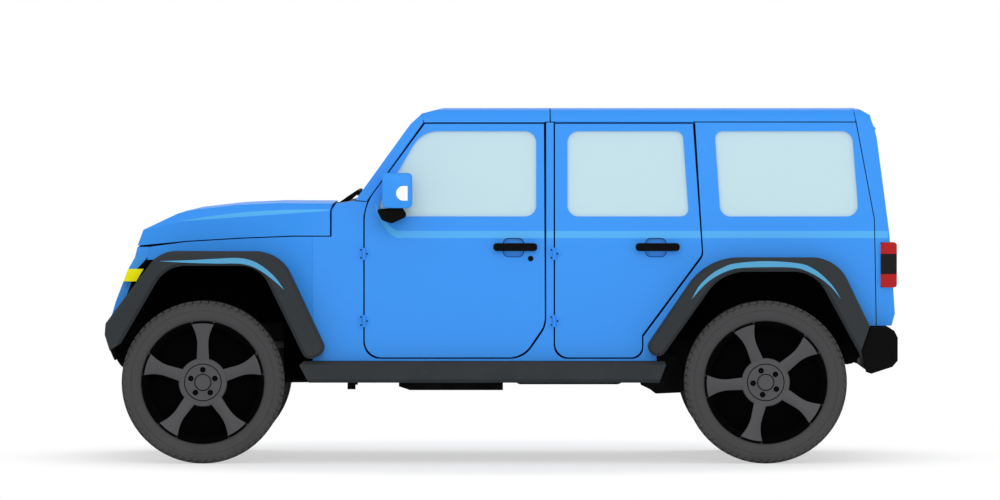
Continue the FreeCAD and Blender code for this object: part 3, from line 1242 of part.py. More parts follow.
def ladder_frame():
    """Two boxed rails with kick-ups over the axles, and their crossmembers."""
    body = new_body("ladder_frame")
    rail = [
        (S.frame_front_x, S.frame_nose_low_z), (S.frame_drop_x, S.frame_nose_low_z),
        (S.frame_drop_end_x, S.frame_low_z), (S.frame_rise_x, S.frame_low_z),
        (S.frame_rise_end_x, S.frame_tail_low_z), (S.frame_rear_x, S.frame_tail_low_z),
        (S.frame_rear_x, S.frame_tail_top_z), (S.frame_rise_end_x - S.cross_wide, S.frame_tail_top_z),
        (S.frame_rise_x - S.cross_wide, S.frame_top_z), (S.frame_drop_end_x + S.cross_wide, S.frame_top_z),
        (S.frame_drop_x + S.cross_wide, S.frame_nose_top_z), (S.frame_front_x, S.frame_nose_top_z),
    ]
    pad(body, "XZ", [rail], S.rail_outer_y * 2, None, True)
    cut(body, "XZ", [frame_band()], S.rail_inner_y * 2, None, True)
    bars = ((S.cross_front_x, S.frame_nose_low_z, S.frame_nose_top_z),
            (S.cross_gearbox_x, S.skid_top_z, S.gearbox_low_z),
            (S.cross_rear_x, S.frame_tail_low_z, S.frame_tail_top_z))
    for x, low, high in bars:
        bar = box_loop(x, low, x + S.cross_wide, high)
        pad(body, "XZ", [bar], S.rail_outer_y * 2, None, True)
    skid = [(S.skid_x, S.skid_z + S.bracket_wide / 3), (S.skid_x + S.bracket_wide, S.skid_z),
            (S.skid_rear_x, S.skid_z),
            (S.skid_rear_x, S.frame_low_z + S.face_gap), (S.skid_x, S.frame_low_z + S.face_gap)]
    pad(body, "XZ", [skid], S.rail_outer_y * 2, None, True)
    cut(body, "XZ", [box_loop(S.skid_x - S.overrun, S.skid_top_z, S.skid_rear_x + S.overrun,
                              S.gearbox_low_z * 2)],
        S.rail_inner_y * 2, None, True)
    brackets = (
        [(S.front_link_x, S.frame_top_z - S.bracket_wide), (S.front_link_x, S.bracket_low_z),
         (S.bracket_front_x, S.bracket_low_z), (S.bracket_front_x, S.frame_top_z - S.bracket_wide)],
        [(S.rear_bracket_top_x, S.frame_top_z - S.bracket_wide), (S.rear_bracket_x, S.rear_bracket_z),
         (S.rear_link_x, S.rear_bracket_low_z), (S.rear_link_x, S.frame_top_z - S.bracket_wide)],
    )
    for outline in brackets:
        for start in (S.link_y - S.link_radius, -(S.link_y + S.link_radius)):
            pad(body, "XZ", [outline], S.link_radius * 2, start)
    keep(body)


def frame_band():
    """Everything between the rails, above and below them."""
    return box_loop(-S.overrun, S.section_base_z - S.overrun, S.overall_length, S.cargo_z)


def side_rails():
    """Step rails below the doors."""
    body = new_body("side_rail")
    outline = [
        (S.rail_low_front_x, S.rail_low_z), (S.rail_low_rear_x, S.rail_low_z),
        (S.rail_tail_x, S.rail_nose_z),
        (S.rail_rear_x, S.rail_top_z), (S.rail_front_x, S.rail_top_z), (S.rail_nose_x, S.rail_nose_z),
    ]
    pad(body, "XZ", [outline], S.rail_out, S.body_half)
    outer = -(S.body_half + S.rail_out).number
    bevel_edges(body, S.rail_edge_radius, lambda e: abs(e.BoundBox.YMin - outer) < NEAR
                and abs(e.BoundBox.YMax - outer) < NEAR and e.BoundBox.XLength > S.wheelbase.number / 2)
    keep(pair("side_rails", body))


def bumpers():
    """Front bumper with its mounting block, and the wrap-round rear bumper."""
    front = new_body("front_bumper")
    face = [
        (S.bumper_back_x, S.bumper_top_z), (S.bumper_face_x + S.bumper_knee_x, S.bumper_top_z),
        (S.bumper_face_x, S.bumper_face_top_z), (S.bumper_face_x, S.bumper_face_low_z),
        (S.bumper_knee_x, S.bumper_knee_z), (S.bumper_low_x, S.bumper_low_z),
        (S.bumper_back_x, S.bumper_low_z),
    ]
    pad(front, "XZ", [face], S.hood_front_half * 2, None, True)
    block = [
        (S.bumper_low_x, S.bumper_low_z), (S.bumper_chin_x, S.bumper_chin_z),
        (S.bumper_toe_x, S.bumper_toe_z),
        (S.bumper_centre_back_x, S.bumper_toe_z), (S.bumper_centre_back_x, S.nose_foot_z - S.face_gap),
        (S.bumper_low_x, S.nose_foot_z - S.face_gap),
    ]
    pad(front, "XZ", [block], S.bumper_centre_half * 2, None, True)
    keep(front)
    rear = new_body("rear_bumper")
    tail = [
        (S.tail_bumper_front_x, S.tail_bumper_top_z), (S.tail_bumper_nose_x, S.tail_bumper_nose_z),
        (S.tail_bumper_toe_x, S.tail_bumper_toe_z), (S.tail_bumper_base_x, S.tail_bumper_base_z),
        (S.tail_bumper_chin_x, S.tail_bumper_chin_z), (S.overall_length, S.tail_bumper_low_face_z),
        (S.overall_length, S.tail_bumper_face_z), (S.tail_bumper_cheek_x, S.tail_bumper_cheek_z),
        (S.tail_bumper_brow_x, S.tail_bumper_top_z),
    ]
    pad(rear, "XZ", [tail], S.tail_bumper_half * 2, None, True)
    inner = box_loop(S.arch_rear_top_x, S.section_base_z, S.frame_rear_x, S.cargo_z)
    cut(rear, "XZ", [inner], S.body_half * 2, None, True)
    keep(rear)


def on_axle(body):
    """Moves a wheel piece from its own centre to its place on the left of the front axle."""
    bind(body, "Placement.Base.x", S.front_axle_x - S.overall_length / 2)
    bind(body, "Placement.Base.y", -S.track_half)
    bind(body, "Placement.Base.z", S.tyre_radius)
    return body


def on_rear_axle(source, label):
    """The same wheel piece on the rear axle."""
    twin = together(label, [source])
    bind(twin, "Placement.Base.x", S.wheelbase)
    return twin


def is_flat_across(edge):
    """Edges of a wheel piece that lie in a plane square to its axle."""
    return edge.BoundBox.YLength < edge.Length / 2


def tyre():
    """A tyre as a ring with flats: bevelled shoulders, and side walls that step in to the beads."""
    body = new_body("tyre_front_left")
    pad(body, "XZ", [Disc(0, 0, S.tyre_radius, WHEEL_SIDES)], S.tyre_half * 2, None, True)
    bevel_edges(body, S.tyre_shoulder, is_flat_across)
    for start in (S.bead_half, -(S.bead_half + S.overrun)):
        cut(body, "XZ", [Disc(0, 0, S.tyre_bulge_radius, WHEEL_SIDES)], S.overrun, start)
    cut(body, "XZ", [Disc(0, 0, S.bead_radius, WHEEL_SIDES)])
    return on_axle(body)


def polar_point(radius, degrees):
    """A point of the wheel face at a radius and an angle from straight down."""
    angle = math.radians(degrees)
    return radius * round(math.sin(angle), 6), -(radius * round(math.cos(angle), 6))


def spoke_turn(share):
    """Half a window's angle between the hub (0) and the band (1): widest at the spoke's waist."""
    hub = INNER_TURN * (share - 0.5) * (share - 1) * 2
    waist = WAIST_TURN * share * (1 - share) * 4
    band = OUTER_TURN * share * (share - 0.5) * 2
    return hub + waist + band


def spoke_window(turn):
    """One opening between two spokes, turned round the wheel by turn."""
    outer, inner = S.window_outer * OUTER_SHARE, S.hub_radius * INNER_SHARE
    shares = (0, 1 / 3, 2 / 3, 1)
    right = [(inner + (outer - inner) * share, spoke_turn(share)) for share in shares]
    rim_arc = [(outer, OUTER_TURN * share) for share in (0.5, 0, -0.5)]
    left = [(radius, -angle) for radius, angle in reversed(right)]
    return [polar_point(radius, angle + turn) for radius, angle in right + rim_arc + left + [(inner, 0)]]


def rim(label, turn):
    """A five-spoke wheel with its hub and brake disc, hollow where the real one is."""
    body = new_body(label)
    lip = S.bead_half + S.rim_lip
    pad(body, "XZ", [Disc(0, 0, S.bead_radius, WHEEL_SIDES)], lip * 2, None, True)
    for start in (S.bead_half, -lip):
        pad(body, "XZ", [Disc(0, 0, S.rim_radius, WHEEL_SIDES)], S.rim_lip, start)
    cut(body, "XZ", [Disc(0, 0, S.rim_bore, WHEEL_SIDES)], lip - S.rim_face, S.rim_face)
    cut(body, "XZ", [Disc(0, 0, S.rim_bore, WHEEL_SIDES)], lip + S.rim_back, -lip)
    pad(body, "XZ", [Disc(0, 0, S.hub_radius, HUB_SIDES)], S.rim_hub_face - S.hub_back, S.hub_back)
    cut(body, "XZ", [Disc(0, 0, S.hub_radius, HUB_SIDES)], lip - S.rim_hub_face, S.rim_hub_face)
    pad(body, "XZ", [Disc(0, 0, S.hub_tube, HUB_SIDES)], S.hub_end + S.rim_back, -S.hub_end)
    pad(body, "XZ", [Disc(0, 0, S.cap_radius, HUB_SIDES)], S.rim_hub_face + S.cap_out - S.rim_back,
        S.rim_back)
    pad(body, "XZ", [Disc(0, 0, S.disc_radius, HUB_SIDES)], S.disc_back - S.disc_face, -S.disc_back)
    cut(body, "XZ", [Disc(0, 0, S.spindle_bore)], S.spindle_deep, -S.hub_end)
    polar(body, [cut(body, "XZ", [spoke_window(turn)], S.overrun * 2, S.hub_back / 2)], SPOKES)
    lug_x, lug_z = polar_point(S.lug_circle, LUG_TURN + turn)
    lug = cut(body, "XZ", [Disc(lug_x, lug_z, S.lug_radius, NUT_SIDES)], S.overrun,
              S.rim_hub_face - S.lug_deep)
    polar(body, [lug], SPOKES)
    return on_axle(body)


def wheels():
    """Four wheels in their places, the rear pair turned as they stopped."""
    front_tyre = keep(tyre())
    keep(mirrored(front_tyre, "tyre_front_right"))
    rear_tyre = keep(on_rear_axle(front_tyre, "tyre_rear_left"))
    keep(mirrored(rear_tyre, "tyre_rear_right"))
    front_rim = keep(rim("wheel_front_left", 0))
    keep(mirrored(front_rim, "wheel_front_right"))
    rear_rim = keep(on_rear_axle(rim("rear_rim", SIZES["rear_wheel_turn"]), "wheel_rear_left"))
    keep(mirrored(rear_rim, "wheel_rear_right"))


def steering_knuckles():
    """Front uprights with king pins, spindles and brake calipers."""
    body = new_body("knuckle_left")
    x, z = S.front_axle_x, S.tyre_radius
    inner = S.track_half - S.knuckle_low
    block = box_loop(x - S.knuckle_half_x, z - S.knuckle_half_z, x + S.knuckle_half_x, z + S.knuckle_half_z)
    pad(body, "XZ", [block], S.knuckle_deep, inner - S.knuckle_deep)
    pin = Disc(x, -(S.track_half - S.steer_inset), S.kingpin_radius)
    pad(body, "XY", [pin], S.kingpin_top * 2, z - S.kingpin_top)
    spindle = Disc(x, z, S.spindle_radius)
    pad(body, "XZ", [spindle], S.knuckle_low - S.hub_end + S.spindle_deep - S.hinge_play + S.face_gap,
        inner - S.face_gap)
    inboard = S.track_half - S.disc_back - S.caliper_gap - S.caliper_thick
    outboard = S.track_half - S.disc_face + S.caliper_gap + S.caliper_thick
    arm = box_loop(x + S.caliper_low - S.kingpin_radius, z - S.caliper_half / 2, x + S.caliper_high,
                   z + S.caliper_half / 2)
    pad(body, "XZ", [arm], S.caliper_thick, inboard)
    bridge = box_loop(x + S.caliper_low, z - S.caliper_half, x + S.caliper_high + S.caliper_thick,
                      z + S.caliper_half)
    pad(body, "XZ", [bridge], outboard - inboard, inboard)
    cut(body, "XZ", [Disc(x, z, S.disc_radius + S.caliper_gap, HUB_SIDES * 2)],
        S.disc_back - S.disc_face + S.caliper_gap * 2, S.track_half - S.disc_back - S.caliper_gap)
    join = box_loop(x - S.knuckle_half_x, z - S.caliper_half / 2, x + S.caliper_low + S.kingpin_radius,
                    z + S.caliper_half / 2)
    pad(body, "XZ", [join], S.caliper_thick, inner - S.knuckle_deep)
    pad(body, "XZ", [box_loop(x + S.caliper_low - S.kingpin_radius, z - S.caliper_half / 2,
                              x + S.caliper_low + S.kingpin_radius, z + S.caliper_half / 2)],
        inboard - (inner - S.knuckle_deep) + S.face_gap, inner - S.knuckle_deep)
    keep(body)
    keep(mirrored(body, "knuckle_right"))


def axles():
    """Solid front and rear axles with differentials, yokes and spindles."""
    front = new_body("front_axle")
    x, z = S.front_axle_x, S.tyre_radius
    pad(front, "XZ", [Disc(x, z, S.axle_tube, SMALL_SIDES)], S.yoke_back_y * 2, None, True)
    for side in (-1, 1):
        start = S.yoke_back_y - S.axle_tube / 2
        if side > 0:
            start = -(S.track_half - S.steer_inset + S.yoke_deep / 2)
        deep = S.track_half - S.steer_inset + S.yoke_deep / 2 - S.yoke_back_y + S.axle_tube / 2
        yoke = box_loop(x - S.yoke_half_x, z - S.kingpin_top, x + S.yoke_half_x, z + S.kingpin_top)
        pad(front, "XZ", [yoke], deep, start)
        mouth = box_loop(x - S.overrun, z - S.yoke_low, x + S.overrun, z + S.yoke_low)
        gap_start = S.yoke_back_y + S.axle_tube / 2 if side < 0 else -S.track_half
        cut(front, "XZ", [mouth], S.track_half - S.yoke_back_y - S.axle_tube / 2, gap_start)
        cut(front, "XY", [Disc(x, (S.track_half - S.steer_inset) * side, S.kingpin_bore)])
    pad(front, "XZ", [Disc(x, z, S.diff_radius, HUB_SIDES)], S.diff_deep, S.diff_y - S.diff_deep / 2)
    snout = box_loop(x, z - S.diff_nose, x + S.diff_radius + S.diff_nose, z + S.diff_nose)
    pad(front, "XZ", [snout], S.diff_nose * 2, S.diff_y - S.diff_nose)
    rear = new_body("rear_axle")
    x = S.front_axle_x + S.wheelbase
    hub = S.track_half - S.hub_end - S.hinge_play * 2
    pad(rear, "XZ", [Disc(x, z, S.axle_tube, SMALL_SIDES)], hub * 2, None, True)
    pad(rear, "XZ", [Disc(x, z, S.spindle_radius)], (hub + S.spindle_deep) * 2, None, True)
    pad(rear, "XZ", [Disc(x, z, S.rear_diff_radius, HUB_SIDES)], S.rear_diff_deep, None, True)
    snout = box_loop(x - S.rear_diff_radius - S.diff_nose, z - S.diff_nose, x, z + S.diff_nose)
    pad(rear, "XZ", [snout], S.diff_nose * 2, None, True)
    for body, axle_x, end in ((front, S.front_axle_x, (S.front_link_x - S.face_gap, S.front_link_z)),
                              (rear, x, (S.rear_link_x + S.face_gap, S.rear_link_z))):
        for start in (S.link_y - S.link_radius, -(S.link_y + S.link_radius)):
            pad(body, "XZ", [link_outline(axle_x, z, end)], S.link_radius * 2, start)
    keep(together("axles", [front, rear]))


def link_outline(axle_x, axle_z, end):
    """A straight arm from an axle's middle to its bracket on the frame."""
    up = S.link_radius
    corners = [(axle_x, axle_z - up), (end[0], end[1] - up), (end[0], end[1] + up), (axle_x, axle_z + up)]
    return corners if axle_x.number < end[0].number else list(reversed(corners))


def cylinder(label, radius, height, x, y, z, turn="none"):
    """A round bar at vehicle stations."""
    bar = DOC.addObject("Part::Cylinder", label)
    bind(bar, "Radius", radius)
    bind(bar, "Height", height)
    return place(bar, x, y, z, turn)


def springs():
    """Coil springs as plain columns between the axles and the frame."""
    rear_x = S.front_axle_x + S.wheelbase
    pieces = []
    low = S.tyre_radius + S.axle_tube + S.face_gap
    for name, x, top, y in (("front", S.front_axle_x, S.frame_nose_low_z, S.spring_y),
                            ("rear", rear_x, S.frame_tail_low_z, S.rear_spring_y)):
        for side in (-1, 1):
            label = "spring_%s_%s" % (name, "left" if side < 0 else "right")
            column = new_body(label)
            pad(column, "XY", [Disc(x, y * side, S.spring_radius, SMALL_SIDES)], top - low - S.face_gap,
                low)
            pieces.append(column)
    keep(together("springs", pieces))


def driveline():
    """Gearbox with transfer case and the two propeller shafts."""
    body = new_body("gearbox")
    case = [
        (S.gearbox_x, S.gearbox_low_z), (S.gearbox_rear_x, S.gearbox_low_z),
        (S.gearbox_rear_x, S.gearbox_top_z),
        (S.gearbox_back_x, S.gearbox_top_z), (S.gearbox_neck_x, S.gearbox_neck_z),
        (S.gearbox_bell_x, S.gearbox_bell_z), (S.gearbox_x, S.gearbox_bell_z),
    ]
    pad(body, "XZ", [case], S.gearbox_half * 2, None, True)
    transfer = box_loop(S.transfer_x, S.gearbox_low_z, S.gearbox_rear_x, S.transfer_top_z)
    pad(body, "XZ", [transfer], S.transfer_y + S.shaft_radius * 2, None)
    rear_start = S.gearbox_rear_x
    rear_end = S.front_axle_x + S.wheelbase - S.rear_diff_radius - S.diff_nose
    front_start = S.front_axle_x + S.diff_radius + S.diff_nose
    pad(body, "YZ", [Disc(0, S.tyre_radius + S.diff_nose / 2, S.shaft_radius, SMALL_SIDES)],
        rear_end - rear_start - S.face_gap,
        rear_start)
    pad(body, "YZ", [Disc(-S.diff_y, S.tyre_radius + S.diff_nose / 2, S.shaft_radius, SMALL_SIDES)],
        S.transfer_x - front_start - S.face_gap, front_start + S.face_gap)
    keep(body)


def heavy_things():
    """Engine block, fuel tank and exhaust."""
    engine = new_body("engine")
    block = box_loop(-S.engine_half, S.engine_low_z, S.engine_half, S.engine_top_z)
    pad(engine, "YZ", [block], S.gearbox_x - S.engine_x, S.engine_x)
    keep(engine)
    tank = new_body("fuel_tank")
    side = box_loop(S.tank_x, S.tank_low_z, S.tank_rear_x, S.tank_top_z, S.tank_radius)
    pad(tank, "XZ", [side], S.rail_inner_y - S.face_gap - S.tank_inner, S.tank_inner)
    keep(tank)
    exhaust = new_body("exhaust")
    box_z = S.frame_tail_low_z - S.face_gap - S.muffler_radius
    pad(exhaust, "XZ", [Disc(S.muffler_x, box_z, S.muffler_radius, HUB_SIDES)], S.muffler_half * 2,
        None, True)
    pad(exhaust, "YZ", [Disc(S.pipe_y, S.pipe_z, S.pipe_radius, SMALL_SIDES)],
        S.muffler_x - S.pipe_front_x, S.pipe_front_x)
    pad(exhaust, "XY", [Disc(S.pipe_front_x + S.pipe_radius * 2, S.pipe_y, S.down_pipe_radius,
                             SMALL_SIDES)],
        S.engine_low_z - S.face_gap - S.pipe_z, S.pipe_z)
    keep(exhaust)


def seat_outline(shift, base_z):
    return [
        (S.seat_x + shift, base_z), (S.seat_x + shift, S.seat_front_z, S.seat_radius / 2),
        (S.seat_dip_x + shift, S.seat_dip_z, S.seat_radius),
        (S.seat_top_x + shift, S.seat_top_z, S.seat_radius / 2),
        (S.seat_back_x + shift, S.seat_top_z, S.seat_radius / 2), (S.seat_foot_x + shift, base_z),
    ]


def seats():
    """Two front seats on plinths and the rear bench."""
    front = new_body("front_seat")
    none = FLUSH
    pad(front, "XZ", [seat_outline(none, S.seat_base_z)], S.seat_half * 2, S.seat_y - S.seat_half)
    plinth = box_loop(S.seat_x + S.seat_plinth_inset, S.floor_z + S.floor_thick,
                      S.seat_foot_x - S.seat_plinth_inset, S.seat_base_z)
    pad(front, "XZ", [plinth], (S.seat_half - S.seat_plinth_inset) * 2,
        S.seat_y - S.seat_half + S.seat_plinth_inset)
    head = box_loop(S.head_low_x, S.seat_top_z, S.head_low_x + S.head_deep, S.head_top_z, S.seat_radius / 2)
    pad(front, "XZ", [head], S.head_half * 2, S.seat_y - S.head_half)
    bench = new_body("bench")
    shift = S.bench_shift
    pad(bench, "XZ", [seat_outline(shift, S.bench_base_z)], S.bench_half * 2, None, True)
    base = box_loop(S.seat_x + shift + S.seat_plinth_inset, S.floor_z + S.floor_thick,
                    S.bench_plinth_rear_x, S.bench_base_z)
    pad(bench, "XZ", [base], (S.bench_half - S.seat_plinth_inset) * 2, None, True)
    keep(together("seats", [front, mirrored(front, "front_seat_right"), bench]))


def dashboard():
    """Dashboard with the steering column, and the steering wheel."""
    body = new_body("dashboard")
    front_x = S.firewall_x + S.firewall_thick + S.face_gap
    side = [
        (front_x, S.dash_top_z), (S.dash_rear_x, S.dash_brow_z, S.seat_radius / 2),
        (S.dash_lip_x, S.dash_lip_z, S.seat_radius / 2), (S.dash_foot_x, S.dash_foot_z),
        (front_x, S.dash_foot_z),
    ]
    pad(body, "XZ", [side], S.dash_half * 2, None, True)
    column = cylinder("column", S.column_radius, S.column_length, S.column_x, -S.column_y, S.column_z)
    turn = FreeCAD.Rotation(FreeCAD.Vector(0, 1, 0), S.column_turn.number)
    column.Placement = FreeCAD.Placement(column.Placement.Base, turn)
    DOC.recompute()
    both = DOC.addObject("Part::Fuse", "dashboard_set")
    both.Base, both.Tool = body, column
    both.Label = "dashboard_node"
    keep(both)
    wheel = new_body("steering_wheel")
    ring, tube, flat = S.steer_ring, S.steer_tube, S.steer_tube / 2
    half = [(-tube, flat), (-flat, tube), (flat, tube), (tube, flat)]
    loft(wheel, "XY", [(Disc(0, 0, ring + out, HUB_SIDES), S.steer_boss + up) for up, out in half])
    loft(wheel, "XY", [(Disc(0, 0, ring - out, HUB_SIDES), S.steer_boss + up) for up, out in half], True)
    pad(wheel, "XY", [Disc(0, 0, S.steer_hub, SMALL_SIDES)], S.steer_hub_deep)
    pad(wheel, "XY", [box_loop(-S.steer_spoke / 2, -ring, S.steer_spoke / 2, ring)], S.steer_boss)
    pad(wheel, "XY", [box_loop(0, -S.steer_spoke / 2, ring, S.steer_spoke / 2)], S.steer_boss)
    axis = turn.multVec(FreeCAD.Vector(0, 0, 1))
    reach = S.column_length + S.face_gap
    wheel.Placement = FreeCAD.Placement(FreeCAD.Vector(), turn)
    bind(wheel, "Placement.Base.x", S.column_x + reach * axis.x - S.overall_length / 2)
    bind(wheel, "Placement.Base.y", -S.column_y)
    bind(wheel, "Placement.Base.z", S.column_z + reach * axis.z)
    keep(wheel)


def cowl_at(x, slope):
    """Height just above the cowl at a station."""
    return S.cowl_top_z + (x - S.firewall_x) * slope + S.face_gap


def wipers():
    """Two wiper arms lying on the foot of the windscreen."""
    body = new_body("wiper")
    slope = (S.screen_nose_z - S.cowl_top_z) / (S.screen_nose_x - S.firewall_x)
    heel_x = S.wiper_low_x + S.wiper_heel
    arm = [
        (S.wiper_low_x, cowl_at(S.wiper_low_x, slope)), (heel_x, cowl_at(heel_x, slope)),
        (S.wiper_high_x, S.wiper_high_z - S.wiper_thick), (S.wiper_high_x, S.wiper_high_z),
        (S.wiper_low_x, cowl_at(S.wiper_low_x, slope) + S.wiper_thick),
    ]
    pad(body, "XZ", [arm], S.wiper_long, S.wiper_y)
    keep(pair("wipers", body))


def write_nodes():
    """Checks every object and writes one file for each node."""
    DOC.recompute()
    bad = [o.Label for o in DOC.Objects if {"Invalid", "Error"} & set(o.State)]
    if bad:
        raise ValueError("objects that failed: %s" % bad)
    os.makedirs("parts", exist_ok=True)
    for piece in NODES:
        if piece.Shape.isNull() or not piece.Shape.isValid() or not piece.Shape.Solids:
            raise ValueError("no valid shape for " + piece.Label)
        name = piece.Label.replace("_node", "")
        piece.Shape.exportStep("parts/%s.step" % name)
        print(name, len(piece.Shape.Solids), round(piece.Shape.Volume / 1e6, 2))


def main():
    body_side()
    doors()
    screen()
    roofs()
    tail_frame()
    tail_lamps()
    tailgate()
    hatch()
    hood()
    wings()
    nose()
    markers()
    flares()
    liners()
    tub()
    ladder_frame()
    side_rails()
    bumpers()
    wheels()
    steering_knuckles()
    axles()
    springs()
    driveline()
    heavy_things()
    seats()
    dashboard()
    wipers()
    write_nodes()


main()
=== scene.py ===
"""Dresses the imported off-roader: finishes, tyres, wheels, lamps, cabin, running gear, trim and studio."""

import json
import logging
import math
from collections.abc import Callable, Iterable, Mapping, Sequence
from dataclasses import dataclass
from enum import Enum
from typing import ClassVar

import bmesh
import bpy
from mathutils import Matrix, Vector

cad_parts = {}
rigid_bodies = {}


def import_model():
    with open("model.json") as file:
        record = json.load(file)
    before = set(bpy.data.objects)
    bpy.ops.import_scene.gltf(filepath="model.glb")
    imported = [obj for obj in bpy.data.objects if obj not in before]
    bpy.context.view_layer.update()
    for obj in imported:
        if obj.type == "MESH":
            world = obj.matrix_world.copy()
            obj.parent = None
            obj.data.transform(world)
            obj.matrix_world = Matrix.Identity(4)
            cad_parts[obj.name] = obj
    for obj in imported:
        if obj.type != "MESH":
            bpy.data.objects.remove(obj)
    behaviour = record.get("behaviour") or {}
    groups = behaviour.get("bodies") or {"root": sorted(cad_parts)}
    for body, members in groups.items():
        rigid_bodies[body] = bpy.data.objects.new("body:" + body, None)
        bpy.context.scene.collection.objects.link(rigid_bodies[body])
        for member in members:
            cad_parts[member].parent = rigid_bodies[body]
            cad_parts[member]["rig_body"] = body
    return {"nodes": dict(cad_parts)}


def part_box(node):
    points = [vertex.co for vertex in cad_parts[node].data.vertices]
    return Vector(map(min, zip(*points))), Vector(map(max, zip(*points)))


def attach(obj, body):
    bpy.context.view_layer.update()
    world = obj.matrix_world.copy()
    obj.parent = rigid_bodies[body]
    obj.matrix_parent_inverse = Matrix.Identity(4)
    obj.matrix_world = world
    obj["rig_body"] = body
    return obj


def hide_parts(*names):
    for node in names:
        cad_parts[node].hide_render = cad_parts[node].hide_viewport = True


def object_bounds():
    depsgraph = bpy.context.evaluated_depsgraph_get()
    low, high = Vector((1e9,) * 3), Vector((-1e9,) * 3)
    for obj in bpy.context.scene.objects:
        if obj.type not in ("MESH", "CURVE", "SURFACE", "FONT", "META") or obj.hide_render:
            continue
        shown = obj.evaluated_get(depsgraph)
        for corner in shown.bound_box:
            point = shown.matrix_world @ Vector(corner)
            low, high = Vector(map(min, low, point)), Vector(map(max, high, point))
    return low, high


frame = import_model()
CAD_BOX = [list(corner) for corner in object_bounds()]
FRONT_X = CAD_BOX[0][0]
LOG = logging.getLogger("offroader")

Point = tuple[float, float]
Spot = tuple[float, float, float]
Profile = Sequence[Point]
Box = tuple[Point, Point, Point, float]
Mesh = bmesh.types.BMesh
Piece = bpy.types.Object
Socket = bpy.types.NodeSocket
Tree = bpy.types.NodeTree

# The body side's section in metres: the belt's step, and the height at which its lean ends
BELT_LOW = 1.204
BELT_HIGH = 1.242
LEAN_TOP = 1.823
# Points closer than this are one, and faces that turn by less than this many degrees are one face
SAME_PLACE = 1e-5
SAME_POLE = 1e-6
SAME_FACE_TURN = 0.5
# How many steps a rounded corner, a run of a smooth line and an eased edge have
CORNER_STEPS = 6
CURVE_STEPS = 5
EASE_STEPS = 2


class Side(Enum):
    """The two sides of the vehicle, with the sign of their y."""

    LEFT = -1
    RIGHT = 1

    @property
    def word(self) -> str:
        """The side's name as node names spell it."""
        return self.name.lower()


class Slot(Enum):
    """The record's material slots that new pieces are handed with, though nothing reads them."""

    PAINT = "body_paint"
    FLARE = "flare_plastic"
    TRIM = "black_trim"
    TYRE = "tyre"
    ALLOY = "wheel_alloy"
    CHASSIS = "chassis_steel"
    LAMP = "headlamp_lens"
    FABRIC = "seat_fabric"
    DASH = "dash_plastic"


def along(station: float) -> float:
    """The frame's x of a station that is measured from the front end, in metres."""
    return FRONT_X + station


def placed(points: Profile) -> list[Point]:
    """Points of station and height as points of the frame's x and z."""
    return [(along(x), z) for x, z in points]


def progress(value: float, start: float, end: float) -> float:
    """How far a value lies from start to end, from 0 to 1."""
    return min(max((value - start) / (end - start), 0.0), 1.0)


def from_screen(value: int) -> float:
    """Turns one 0 to 255 screen value into linear light."""
    share = value / 255
    return share / 12.92 if share <= 0.04045 else ((share + 0.055) / 1.055) ** 2.4


def linear(colour: Sequence[int]) -> tuple[float, float, float, float]:
    """A screen colour as linear red, green, blue and a full alpha."""
    return (*(from_screen(part) for part in colour), 1.0)


class Wiring:
    """Adds and joins nodes in one node tree."""

    # The numbers of a colour mix node's mask, first and second colour, and of its result
    mix_inputs = (0, 6, 7)
    mix_result: int = 2

    def __init__(self, tree: Tree) -> None:
        """Keeps the tree that the nodes go into."""
        self.tree = tree

    def add(self, kind: str, inputs: Mapping | None = None, **settings: object) -> bpy.types.Node:
        """Adds a node.

        Args:
            kind: The node's type name.
            inputs: Socket names or numbers, with a value or a socket to join to each.
            settings: The node's own properties.

        Returns:
            The new node.
        """
        node = self.tree.nodes.new(kind)
        for name, value in settings.items():
            setattr(node, name, value)
        for name, value in (inputs or {}).items():
            if isinstance(value, Socket):
                self.tree.links.new(value, node.inputs[name])
            else:
                node.inputs[name].default_value = value
        return node

    def math(self, operation: str, first: object, second: object = 0.0) -> Socket:
        """One sum on two values, clamped to nothing."""
        return self.add("ShaderNodeMath", {0: first, 1: second}, operation=operation).outputs[0]

    def times(self, first: object, *others: object) -> Socket:
        """The product of several values."""
        for other in others:
            first = self.math("MULTIPLY", first, other)
        return first

    def minus(self, first: object, second: object) -> Socket:
        """One value less another."""
        return self.math("SUBTRACT", first, second)

    def step(self, value: object, start: float, end: float) -> Socket:
        """A smooth step of a value from 0 at start to 1 at end."""
        inputs = {"Value": value, "From Min": start, "From Max": end}
        return self.add("ShaderNodeMapRange", inputs, interpolation_type="SMOOTHSTEP").outputs[0]

    def band(self, value: object, low: float, high: float, soft: float = 0.0015) -> Socket:
        """A mask that is 1 between two values, with soft edges."""
        rise = self.step(value, low - soft, low + soft)
        fall = self.step(value, high + soft, high - soft)
        return self.times(rise, fall)

    def mix(self, mask: object, under: object, over: object) -> Socket:
        """One colour laid over another where the mask is 1."""
        inputs = dict(zip(self.mix_inputs, (mask, under, over)))
        return self.add("ShaderNodeMix", inputs, data_type="RGBA").outputs[self.mix_result]

    def group(self, tree: Tree, inputs: Mapping) -> Socket:
        """Places a shared effect and gives its first output."""
        return self.add("ShaderNodeGroup", inputs, node_tree=tree).outputs[0]

    def split(self, place: Socket) -> Sequence[Socket]:
        """The x, y and z of a place."""
        return self.add("ShaderNodeSeparateXYZ", {0: place}).outputs


